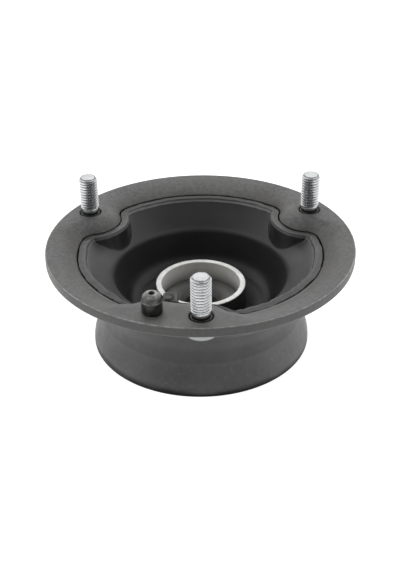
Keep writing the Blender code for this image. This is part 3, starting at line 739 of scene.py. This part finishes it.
def plated_finish(name, colour, roughness):
    """Plated or turned steel with fine turning lines and a cloudy sheen."""
    made = Finish(name, roughness, metallic=1.0)
    lines = made.noise(1.0, 2, stretch=(30, 30, 2600))
    cloud = made.noise(220)
    darker = tuple(part * 0.88 for part in colour)
    made.base(made.spread(cloud, 0.35, 0.65), colour, darker)
    made.rough(made.spread(cloud, 0.3, 0.7, roughness * 0.85, roughness * 1.25))
    made.bump(lines, 0.2, 0.02 * MM)
    return made


def hub_finish():
    """Dull turned steel that is darker towards the bore."""
    made = Finish("hub", 0.5, metallic=0.4)
    cloud = made.noise(300)
    made.base(made.spread(cloud, 0.3, 0.7), (0.15, 0.15, 0.147), (0.19, 0.19, 0.185))
    # The face is painted darker towards the bore.
    bore_dark = made.spread(made.radius(), 9 * MM, 13.5 * MM, 0.75, 0.0)
    made.paint(bore_dark, (0.045, 0.045, 0.043))
    made.rough(made.spread(cloud, 0.3, 0.7, 0.45, 0.58))
    made.bump(made.noise(1800, 2), 0.1, 0.02 * MM)
    return made


def pin_finish():
    """Blackened steel, rubbed grey along the shoulder, with a painted highlight on the tip and a painted
    highlight line round the shoulder.
    """
    made = Finish("black_steel", 0.34, metallic=0.5)
    z = made.z
    cloud = made.noise(500)
    made.base(made.spread(cloud, 0.3, 0.7), (0.020, 0.019, 0.018), (0.050, 0.048, 0.045))
    shoulder = FLANGE_TOP + PIN_BODY_HEIGHT
    rubbed = made.times(made.step(z, shoulder, -0.5, 0.3),
                        made.spread(made.noise(330), 0.3, 0.7, 0.2, 1.0))
    made.paint(rubbed, (0.12, 0.118, 0.112))
    # Painted highlight: the tip is lightened.
    crown = made.times(made.step(z, PIN_TOP, -1.6, -0.1),
                       made.spread(made.noise(520), 0.35, 0.6, 0.25, 1.0))
    made.paint(crown, (0.38, 0.378, 0.37))
    # Painted highlight: a bright line round the shoulder.
    line = made.times(made.step(z, shoulder, -0.45, -0.2),
                      made.step(z, shoulder, 0.05, 0.35, 1.0, 0.0),
                      made.spread(made.noise(260, 2), 0.4, 0.6, 0.25, 0.9))
    made.paint(line, (0.46, 0.46, 0.45))
    made.rough(made.spread(cloud, 0.3, 0.7, 0.28, 0.42))
    made.bump(made.noise(1.0, 2, stretch=(200, 200, 1500)), 0.3, 0.04 * MM)
    return made


def plain_finish(name, colour, lighter, roughness):
    """A moulded surface for the pieces inside the bearing."""
    made = Finish(name, roughness)
    cloud = made.noise(300)
    made.base(made.spread(cloud, 0.3, 0.7), colour, lighter)
    made.rough(made.spread(cloud, 0.3, 0.7, roughness * 0.9, roughness * 1.15))
    made.bump(made.noise(1800, 2), 0.1, 0.02 * MM)
    return made


# Pieces

def hole_cutter(name, radius, place):
    """A cutter for a hole whose upper edge is eased."""
    low = OPENING_EDGE - PLATE_THICKNESS
    high = FLANGE_TOP + PLATE_THICKNESS
    flare = radius + HOLE_EDGE + high - FLANGE_TOP
    profile = [(0, low), (radius, low), (radius, FLANGE_TOP - HOLE_EDGE), (flare, high), (0, high)]
    bm = turned(profile, steps=64, closed=False, place=place)
    bmesh.ops.recalc_face_normals(bm, faces=bm.faces)
    return linked(name, mesh_from(name, bm))


def cut_holes(piece, cutters):
    for cutter in cutters:
        boolean = piece.modifiers.new(cutter.name, "BOOLEAN")
        boolean.operation = "DIFFERENCE"
        boolean.object = cutter
    bpy.context.view_layer.update()
    evaluated = piece.evaluated_get(bpy.context.evaluated_depsgraph_get())
    mesh = bpy.data.meshes.new_from_object(evaluated)
    piece.modifiers.clear()
    piece.data = mesh
    for cutter in cutters:
        bpy.data.objects.remove(cutter, do_unlink=True)
    mesh.set_sharp_from_angle(angle=SHARP_ANGLE)


def make_plate(finish):
    neck_under = circle_ring(NECK_RADIUS, PLATE_FOOT)
    rings = curved(*circle_rings((FLANGE_RADIUS, FLANGE_TOP - RIM_EDGE), (FLANGE_RADIUS, FLANGE_TOP),
                                 (FLANGE_RADIUS - RIM_EDGE, FLANGE_TOP)), 3)
    rings += [dish_ring(share) for share in DISH_SHARES]
    rings += [offset_ring(0, height) for height in (OPENING_EDGE, OPENING_EDGE - 0.4 * MM, cone_top)]
    rings += circle_rings((NECK_BORE_RADIUS, cone_top(NECK_BORE_RADIUS, 0)), (NECK_BORE_RADIUS, PLATE_FOOT))
    rings.append(neck_under)
    corner = offset_ring(PLATE_THICKNESS, cone_under)
    collar = offset_ring(PLATE_THICKNESS, FLANGE_UNDERSIDE)
    wall_top = dish_ring(0.5, PLATE_THICKNESS)
    rings += curved(between(corner, neck_under, 0.35), corner, between(corner, collar, 0.25), 5)
    rings += curved(between(corner, wall_top, 0.7), between(corner, wall_top, 0.93),
                    dish_ring(0.62, PLATE_THICKNESS), 4)
    rings += [dish_ring(share, PLATE_THICKNESS) for share in (0.75, 0.88, 1.0)]
    rings += curved(*circle_rings((FLANGE_RADIUS - RIM_EDGE, FLANGE_UNDERSIDE),
                                  (FLANGE_RADIUS, FLANGE_UNDERSIDE),
                                  (FLANGE_RADIUS, FLANGE_UNDERSIDE + RIM_EDGE)), 3)
    plate = add_piece("plate_shell", lofted(rings), "mount", "painted_steel", finish, "mounting_plate")
    cutters = [hole_cutter(f"stud_hole_{int(angle)}", STUD_HOLE_RADIUS, polar(STUD_CIRCLE_RADIUS, angle))
               for angle in STUD_ANGLES]
    cutters.append(hole_cutter("pin_hole", PIN_HOLE_RADIUS, PIN_CENTRE))
    cut_holes(plate, cutters)


def flash_gap(index):
    """Width of the dark line between the plate and the rubber, which wanders and nearly closes in places."""
    angle = RIM_ANGLES[index]
    sway = around(angle, 5.0, 2.1) + 0.6 * around(angle, 17.0, 5.7) + 0.5 * around(angle, 43.0, 3.3)
    near = 1 + 0.9 * smooth((-OUTLINE[index][0][1] - 12 * MM) / (22 * MM))
    return -max(0.2 * MM, near * (FLASH_GAP + FLASH_GAP_SWAY * sway))


def flash_height(index):
    angle = RIM_ANGLES[index]
    return 0.10 * MM * around(angle, 9.0, 8.3) + 0.05 * MM * around(angle, 31.0, 1.9)


def lip_share(x, y):
    """The lip has its full width everywhere but round the front lobe, where it narrows to a quarter."""
    angle = degrees(atan2(y, x)) % 360
    return 1 - 0.75 * smooth((angle - 222) / 14) * smooth((293 - angle) / 17)


def lip_ring(across, inset, drop, bulge=0.0):
    """A ring on the rubber's lip, a share of its width and an inset inwards from the dark line."""
    ring = []
    for index, ((x, y), (normal_x, normal_y)) in enumerate(OUTLINE):
        share = lip_share(x, y)
        reach = flash_gap(index) - across * LIP_WIDTH * share - inset
        height = OPENING_EDGE - drop + flash_height(index) + bulge * LIP_BULGE * share
        ring.append(Vector((x + reach * normal_x, y + reach * normal_y, height)))
    return ring


def rubber_rings():
    """The rubber's section: the lip, the cup's slope, wall and floor, the seats, and the groove below."""
    bonded_radius = NECK_BORE_RADIUS - SEAT_GAP
    housing_bore = HOUSING_RADIUS + SEAT_GAP
    sleeve_bore = SLEEVE_RADIUS + 0.1 * MM
    seat_height = WEB_TOP + SEAT_GAP
    lip_foot = lip_ring(1, 0.4 * MM, LIP_HEIGHT)
    wall_foot = [Vector((*place.xy, rubber_slope(*place.xy))) for place in lip_ring(1, 0.7 * MM, 0)]
    slope_foot = circle_ring(SLOPE_FOOT_RADIUS, CREASE_HEIGHT)
    cup_corner = circle_ring(WALL_FOOT_RADIUS, CUP_FLOOR + 0.5 * MM)
    floor_edge = circle_ring(FLOOR_EDGE_RADIUS, CUP_FLOOR)
    groove_middle = (housing_bore + bonded_radius) / 2
    rings = [lip_ring(0, 0, FLASH_DEPTH), lip_ring(0, 0, 0.35 * MM)]
    lip_start = lip_ring(0, 0.3 * MM, 0.12 * MM)
    lip_edge = lip_ring(0.8, 0, 0.05 * MM, 1)
    rings += curved(lip_ring(0, 0.02 * MM, 0.3 * MM), lip_ring(0, 0.04 * MM, 0.12 * MM), lip_start, 3)
    rings += curved(lip_start, lip_ring(0.5, 0, 0.12 * MM), lip_edge, 4)[1:]
    rings += curved(lip_edge, lip_ring(1, 0.05 * MM, 0.05 * MM, 1), between(lip_edge, lip_foot, 0.75), 6)[1:]
    rings += curved(between(lip_edge, lip_foot, 0.85), lip_foot, between(lip_foot, wall_foot, 0.25), 3)
    rings += curved(between(lip_foot, wall_foot, 0.25), wall_foot, between(wall_foot, slope_foot, 0.55), 9)
    rings.append(between(wall_foot, slope_foot, 0.7))
    rings += curved(between(wall_foot, slope_foot, 0.85), slope_foot,
                    between(slope_foot, cup_corner, 0.16), 6)
    rings += curved(between(slope_foot, cup_corner, 0.6), cup_corner, floor_edge, 8)
    rings += curved(*circle_rings((sleeve_bore + 0.6 * MM, CUP_FLOOR), (sleeve_bore, CUP_FLOOR),
                                  (sleeve_bore, CUP_FLOOR - 0.4 * MM)), 2)
    rings += circle_rings((sleeve_bore, seat_height), (housing_bore, seat_height),
                          (housing_bore, RUBBER_FOOT), (housing_bore + 0.5 * MM, RUBBER_FOOT))
    rings += curved(*circle_rings((housing_bore + 1.2 * MM, RUBBER_FOOT + 0.8 * MM),
                                  (groove_middle, RUBBER_FOOT + 8 * MM),
                                  (bonded_radius - 1.2 * MM, RUBBER_FOOT + 0.8 * MM)), 10)
    rings += circle_rings((bonded_radius - 0.5 * MM, RUBBER_FOOT), (bonded_radius, RUBBER_FOOT),
                          (bonded_radius, cone_top(bonded_radius, 0) + SEAT_GAP))
    rings.append(offset_ring(-SEAT_GAP, lambda x, y: cone_top(x, y) + SEAT_GAP))
    return rings


def make_rubber(finish, nub):
    add_piece("rubber_cup", lofted(rubber_rings()), "mount", "rubber", finish, "rubber_isolator")
    add_piece("rubber_nub", nub_mesh(), "mount", "rubber", nub)


def rounded_square(size):
    """Points round a square with rounded corners, as offsets from its centre."""
    points = []
    for step in range(NUB_STEPS):
        angle = 2 * pi * (step + 0.5) / NUB_STEPS
        x, y = (copysign(abs(part) ** NUB_ROUNDNESS, part) for part in (cos(angle), sin(angle)))
        points.append((x * size[0] / 2, y * size[1] / 2))
    return points


def nub_mesh():
    """The moulded block inside the front lobe, with an eased top and a round button on it."""
    bm = bmesh.new()
    face_height = FLANGE_TOP - NUB_DROP
    limit = STUD_CIRCLE_RADIUS - LOBE_RADIUS - SEAT_GAP
    rings = []
    for inset, drop in ((0, 8.7), (0, 1.1), (0.12, 0.55), (0.4, 0.18), (0.9, 0.0), (1.0, 0.0)):
        size = (NUB_SIZE[0] - 2 * inset * MM, NUB_SIZE[1] - 2 * inset * MM)
        ring = []
        for x, y in rounded_square(size):
            place = Vector((NUB_CENTRE[0] + x, NUB_CENTRE[1] + y))
            place *= min(1.0, (limit - inset * MM) / place.length)
            ring.append((*place, face_height - drop * MM))
        rings.append(ring)
    for share, rise in ((1.2, -0.8), (1.05, -0.9), (1.0, 0.75), (0.86, 1.0), (0.4, 1.0)):
        ring = []
        for step in range(NUB_STEPS):
            x, y = polar(BUTTON_RADIUS * share, 360 * (step + 0.5) / NUB_STEPS)
            ring.append((BUTTON_CENTRE[0] + x, BUTTON_CENTRE[1] + y, face_height + rise * BUTTON_HEIGHT))
        rings.append(ring)
    loops = [[bm.verts.new(point) for point in ring] for ring in rings]
    bridge(bm, loops)
    bm.faces.new(loops[0])
    bm.faces.new(loops[-1])
    return bm


def flare_radius(height):
    """Outer radius of the skirt: a straight neck, an S-shaped flare and a short straight rim."""
    flare_top = 17.0 * MM
    rim_band = 1.0 * MM
    share = smooth((flare_top - height) / (flare_top - rim_band))
    return NECK_RADIUS + (SKIRT_RIM_RADIUS - NECK_RADIUS) * share


def make_skirt(finish):
    rows = 26
    heights = [SKIRT_TOP - (SKIRT_TOP - 0.6 * MM) * row / rows for row in range(rows + 1)]
    outer = [(flare_radius(z), z, 0) for z in heights]
    outer += [(SKIRT_RIM_RADIUS, 0, 0.45 * MM), (SKIRT_RIM_RADIUS - SKIRT_WALL, 0, 0.45 * MM)]
    inner = [(flare_radius(z) - SKIRT_WALL, z, 0) for z in heights[::-1]]
    profile = eased(outer + inner)
    add_piece("skirt_shell", turned(profile), "mount", "skirt_steel", finish, "lower_skirt")
    seam = (SKIRT_TOP + PLATE_FOOT) / 2
    bead = 0.75 * MM
    arc = [(NECK_RADIUS - 0.1 * MM + bead * cos(radians(a)), seam + 1.5 * bead * sin(radians(a)))
           for a in range(-90, 91, 15)]
    add_piece("neck_weld", turned(arc), "mount", "skirt_steel", finish)


def make_housing(finish):
    groove_bottom = HOUSING_FOOT + 0.8 * MM
    web_bottom = RACE_TOP + SEAT_GAP
    points = [
        (SLEEVE_BORE_RADIUS, SLEEVE_TOP, 0.4 * MM),
        (SLEEVE_RADIUS, SLEEVE_TOP, 0.4 * MM),
        (SLEEVE_RADIUS, WEB_TOP, 0.3 * MM),
        (HOUSING_RADIUS, WEB_TOP, 0.9 * MM),
        (HOUSING_RADIUS, HOUSING_FOOT, 0.4 * MM),
        (HOUSING_BORE, HOUSING_FOOT, 0.3 * MM),
        (HOUSING_BORE, groove_bottom, 0),
        (HOUSING_BORE + 1.5 * MM, groove_bottom, 0),
        (HOUSING_BORE + 1.5 * MM, RACE_BOTTOM, 0),
        (HOUSING_BORE, RACE_BOTTOM, 0),
        (HOUSING_BORE, web_bottom, 0),
        (SLEEVE_BORE_RADIUS, web_bottom, 0.2 * MM),
    ]
    add_piece("housing_shell", turned(eased(points)), "mount", "sleeve_steel", finish, "bearing_housing")


def make_hub(finish):
    seat = RACE_TOP + SEAT_GAP
    body_radius = 15.0 * MM
    bore = 7.1 * MM
    points = [
        (bore, HUB_BOTTOM, 0.6 * MM),
        (body_radius, HUB_BOTTOM, 0.6 * MM),
        (body_radius, seat, 0.1 * MM),
        (HUB_FLANGE_RADIUS, seat, 0.1 * MM),
        (HUB_FLANGE_RADIUS, HUB_TOP, 0.6 * MM),
        (9.2 * MM, HUB_TOP, 0.3 * MM),
        (bore, HUB_TOP - 2.1 * MM, 0.4 * MM),
    ]
    add_piece("hub_turning", turned(eased(points)), "rotor", "hub_steel", finish, "rod_hub")


def race_points(side, back_radius):
    """Half section of a race: back, seal seats, shoulders and ball groove."""
    circle = 22.0 * MM
    groove = 2.68 * MM
    land = 1.5 * MM
    middle = (RACE_BOTTOM + RACE_TOP) / 2
    half = (RACE_TOP - RACE_BOTTOM) / 2
    seat = circle + side * 2.6 * MM
    shoulder = circle + side * land
    depth = half - 0.9 * MM
    points = [(back_radius, middle - half, 0.5 * MM), (back_radius, middle + half, 0.5 * MM)]
    points += [(seat, middle + half, 0.2 * MM), (seat, middle + depth, 0), (shoulder, middle + depth, 0)]
    swing = degrees(acos(land / groove))
    for step in range(13):
        x, z = polar(groove, swing * (1 - step / 6))
        points.append((circle + side * x, middle + z, 0))
    points += [(shoulder, middle - depth, 0), (seat, middle - depth, 0), (seat, middle - half, 0.2 * MM)]
    return points


def make_bearing(steel, seal):
    outer = turned(eased(race_points(1, RACE_OUTER_RADIUS)))
    add_piece("outer_race_turning", outer, "mount", "bearing_steel", steel, "bearing_outer_race")
    inner = turned(eased(race_points(-1, 15.3 * MM)))
    add_piece("inner_race_turning", inner, "rotor", "bearing_steel", steel, "bearing_inner_race")
    for name, side, face_of, back_of in (("upper_seal", 1, top, bottom), ("lower_seal", -1, bottom, top)):
        face = face_of(name)
        back = back_of(name)
        groove = face - side * 0.25 * MM
        points = [(19.7 * MM, back, 0), (24.3 * MM, back, 0)]
        for radius, height in ((24.3, face), (23.2, face), (22.9, groove), (21.2, groove), (20.9, face),
                               (19.7, face)):
            points.append((radius * MM, height, 0.1 * MM))
        add_piece(name + "_moulding", turned(eased(points, steps=3)), "mount", "seal_rubber", seal, name)


def thread_radius(share):
    """Radius of the thread at a share of its pitch: a groove with straight flanks, a flat crest and root."""
    flank = abs(2 * share - 1)
    return THREAD_RADIUS - THREAD_DEPTH * (1 - clamp((flank - 0.12) / 0.7))


def thread_mesh(place, low, high):
    """A helical surface from a plain collar to an eased tip, open at both ends."""
    bm = bmesh.new()
    groove = bm.verts.layers.float.new("groove")
    turns = (high - low) / THREAD_PITCH + 1
    rows = []
    for row in range(-THREAD_ROWS, int(turns * THREAD_ROWS) + 1):
        verts = []
        for step in range(THREAD_STEPS):
            angle = 360 * step / THREAD_STEPS
            height = low + (row / THREAD_ROWS + step / THREAD_STEPS) * THREAD_PITCH
            height = min(max(height, low), high)
            radius = thread_radius(row % THREAD_ROWS / THREAD_ROWS)
            start = smooth((height - low) / (0.8 * THREAD_PITCH))
            radius = COLLAR_RADIUS + (radius - COLLAR_RADIUS) * start
            radius = min(radius, TIP_RADIUS + 0.9 * (high - height))
            x, y = polar(radius, angle)
            vert = bm.verts.new((place[0] + x, place[1] + y, height))
            vert[groove] = clamp((THREAD_RADIUS - radius) / THREAD_DEPTH) * start
            verts.append(vert)
        rows.append(verts)
    for index, (lower, upper) in enumerate(zip(rows, rows[1:])):
        for step in range(THREAD_STEPS - 1):
            bm.faces.new((lower[step], lower[step + 1], upper[step + 1], upper[step]))
        turn_above = index + THREAD_ROWS
        if turn_above + 1 < len(rows):
            bm.faces.new((lower[-1], rows[turn_above][0], rows[turn_above + 1][0], upper[-1]))
    return bm


def add_turned_part(bm, profile, place, steps, splines=None):
    """Add an open turned surface to a mesh. splines gives the heights between which its edge is toothed."""
    rings = []
    for radius, height in profile:
        ring = []
        for step in range(steps):
            reach = radius
            if splines and splines[0] <= height <= splines[1] and step % 2:
                reach = radius - 0.3 * MM
            x, y = polar(reach, 360 * step / steps)
            ring.append(bm.verts.new((place[0] + x, place[1] + y, height)))
        rings.append(ring)
    bridge(bm, rings)
    return rings


def make_stud(name, finish):
    place = centre(name)
    bm = thread_mesh(place, COLLAR_TOP, STUD_TOP)
    lower = eased([
        (STUD_HEAD_RADIUS - 1.5 * MM, STUD_HEAD_BOTTOM, 0),
        (STUD_HEAD_RADIUS, STUD_HEAD_BOTTOM, 1.6 * MM),
        (STUD_HEAD_RADIUS, HEAD_TOP, 0.4 * MM),
        (SHOULDER_RADIUS, HEAD_TOP, 0),
        (SHOULDER_RADIUS, SHOULDER_TOP, 0.2 * MM),
        (COLLAR_RADIUS, SHOULDER_TOP, 0.2 * MM),
        (COLLAR_RADIUS, COLLAR_TOP, 0),
    ])
    splines = (HEAD_TOP + 0.1 * MM, SHOULDER_TOP)
    head = add_turned_part(bm, lower, place, THREAD_STEPS, splines)
    bm.faces.new(head[0])
    tip = [(TIP_RADIUS * share, STUD_TOP - drop * MM) for share, drop in ((1, 0), (0.72, 0.04), (0.4, 0.1))]
    rings = add_turned_part(bm, tip, place, THREAD_STEPS)
    bm.faces.new(rings[-1])
    bmesh.ops.remove_doubles(bm, verts=bm.verts, dist=0.002 * MM)
    bmesh.ops.dissolve_degenerate(bm, edges=bm.edges, dist=0.001 * MM)
    add_piece(name + "_threaded", bm, "mount", "zinc_steel", finish, name)


def make_pin(finish):
    shoulder = FLANGE_TOP + PIN_BODY_HEIGHT
    seat = FLANGE_TOP + 0.02 * MM
    head = 4.3 * MM
    shank = 2.9 * MM
    profile = eased([
        (0, PIN_FOOT, 0),
        (head, PIN_FOOT, 0.4 * MM),
        (head, HEAD_TOP, 0.3 * MM),
        (shank, HEAD_TOP, 0),
        (shank, seat, 0),
        (PIN_RADIUS - 0.25 * MM, seat, 0.1 * MM),
        (PIN_RADIUS, seat + 0.5 * MM, 0.3 * MM),
        (PIN_RADIUS - 0.06 * MM, shoulder - 0.9 * MM, 0.3 * MM),
        (PIN_RADIUS, shoulder - 0.35 * MM, 0.25 * MM),
        (PIN_RADIUS - 0.2 * MM, shoulder + 0.15 * MM, 0.2 * MM),
        (PIN_RADIUS - 0.35 * MM, PIN_TOP - 1.3 * MM, 1.3 * MM),
        (PIN_TIP_RADIUS + 0.4 * MM, PIN_TOP - 0.1 * MM, 0.8 * MM),
        (PIN_HOLE_IN_TIP, PIN_TOP, 0.2 * MM),
        (PIN_HOLE_IN_TIP, PIN_TOP - 4.5 * MM, 0),
        (0, PIN_TOP - 4.8 * MM, 0),
    ])
    bm = turned(profile, steps=72, closed=False, place=PIN_CENTRE)
    add_piece("pin_turning", bm, "mount", "black_steel", finish, "locating_pin")


def dress_small_nodes(steel, cage, spring):
    """Finishes for the pieces of the model that keep their own meshes."""
    finishes = {name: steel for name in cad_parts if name.startswith("ball_")}
    finishes.update(ball_cage=cage, retaining_ring=spring)
    for name, finish in finishes.items():
        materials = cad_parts[name].data.materials
        materials.clear()
        materials.append(finish.material)


# Studio

def make_camera():
    data = bpy.data.cameras.new("camera")
    data.sensor_width = SENSOR_WIDTH
    data.lens = FOCAL_PIXELS * SENSOR_WIDTH / max(IMAGE_SIZE)
    data.clip_start = 0.01
    data.clip_end = 50
    camera = linked("camera", data)
    rise = radians(CAMERA_ELEVATION)
    camera.location = CAMERA_TARGET + CAMERA_DISTANCE * Vector((0, -cos(rise), sin(rise)))
    look = Matrix.Rotation(pi / 2 - rise, 3, "X")
    roll = Matrix.Rotation(radians(-CAMERA_ROLL), 3, "Z")
    camera.rotation_euler = (look @ roll).to_euler()
    bpy.context.scene.camera = camera


def make_lamp(name, place, size, power):
    data = bpy.data.lights.new(name, "AREA")
    data.shape = "RECTANGLE"
    data.size, data.size_y = size
    data.energy = power
    lamp = linked(name, data)
    lamp.location = place
    lamp.visible_glossy = False
    aim = LAMP_TARGET - Vector(place)
    lamp.rotation_euler = aim.to_track_quat("-Z", "Y").to_euler()


def make_world():
    """Soft light from the rear, a white background for the camera, and reflections that are dim in front
    and straight above."""
    world = bpy.data.worlds.new("studio")
    bpy.context.scene.world = world
    world.use_nodes = True
    made = Nodes(world.node_tree)
    made.tree.nodes.clear()
    path = made.add("ShaderNodeLightPath").outputs
    _, y, z = made.split(made.add("ShaderNodeTexCoord").outputs["Generated"])

    def glow(source=None):
        """Light of the given brightness, or white."""
        node = made.add("ShaderNodeBackground")
        node.inputs["Color"].default_value = (1, 1, 1, 1)
        if source:
            made.join(source, node.inputs["Color"])
        return node.outputs["Background"]

    def choose(ray, other, wanted):
        node = made.add("ShaderNodeMixShader")
        for source, socket in zip((path[ray], other, wanted), node.inputs):
            made.join(source, socket)
        return node.outputs["Shader"]

    light = made.spread(y, *SKY_LIGHT)
    shine = made.math("MINIMUM", made.spread(y, *SKY_SHINE), made.spread(z, *ZENITH_SHINE))
    lit = choose("Is Glossy Ray", glow(light), glow(shine))
    made.join(choose("Is Camera Ray", lit, glow()), made.add("ShaderNodeOutputWorld").inputs["Surface"])


def make_floor():
    """A pale floor. Lit, it reads as white to the camera, and it keeps the mount's soft shadow."""
    bm = bmesh.new()
    corners = ((-1, -1), (1, -1), (1, 1), (-1, 1))
    bm.faces.new([bm.verts.new((x * FLOOR_HALF, y * FLOOR_HALF, 0)) for x, y in corners])
    made = Finish("floor_paint", 1.0)
    made.shader.inputs["Base Color"].default_value = (0.55, 0.55, 0.55, 1)
    made.shader.inputs["Specular IOR Level"].default_value = 0.0
    path = made.add("ShaderNodeLightPath").outputs
    glow = made.add("ShaderNodeEmission")
    glow.inputs["Color"].default_value = (1, 1, 1, 1)
    seen = made.math("MAXIMUM", path["Is Camera Ray"], path["Is Glossy Ray"])
    made.join(made.times(seen, FLOOR_GLOW), glow.inputs["Strength"])
    both = made.add("ShaderNodeAddShader")
    made.join(made.shader.outputs["BSDF"], both.inputs[0])
    made.join(glow.outputs["Emission"], both.inputs[1])
    made.join(both.outputs["Shader"], made.tree.nodes["Material Output"].inputs["Surface"])
    floor = linked("floor", mesh_from("floor", bm))
    floor.data.materials.append(made.material)


def make_studio():
    make_camera()
    make_world()
    make_floor()
    for name, place, size, power in LAMPS:
        make_lamp(name, place, size, power)
    bpy.context.scene.view_settings.view_transform = "Standard"


def main():
    steel = plated_finish("ground_steel", (0.55, 0.56, 0.58), 0.25)
    spring = plated_finish("spring_steel", (0.10, 0.10, 0.11), 0.38)
    seal = plain_finish("seal_rubber", (0.022, 0.022, 0.024), (0.034, 0.034, 0.036), 0.5)
    cage = plain_finish("cage_plastic", (0.40, 0.28, 0.13), (0.46, 0.33, 0.17), 0.5)
    make_plate(coat_finish())
    make_rubber(rubber_finish(), nub_finish())
    make_skirt(skirt_finish())
    make_housing(sleeve_finish())
    make_hub(hub_finish())
    make_bearing(steel, seal)
    zinc = zinc_finish()
    for name in ("stud_front", "stud_left", "stud_right"):
        make_stud(name, zinc)
    make_pin(pin_finish())
    dress_small_nodes(steel, cage, spring)
    make_studio()


main()
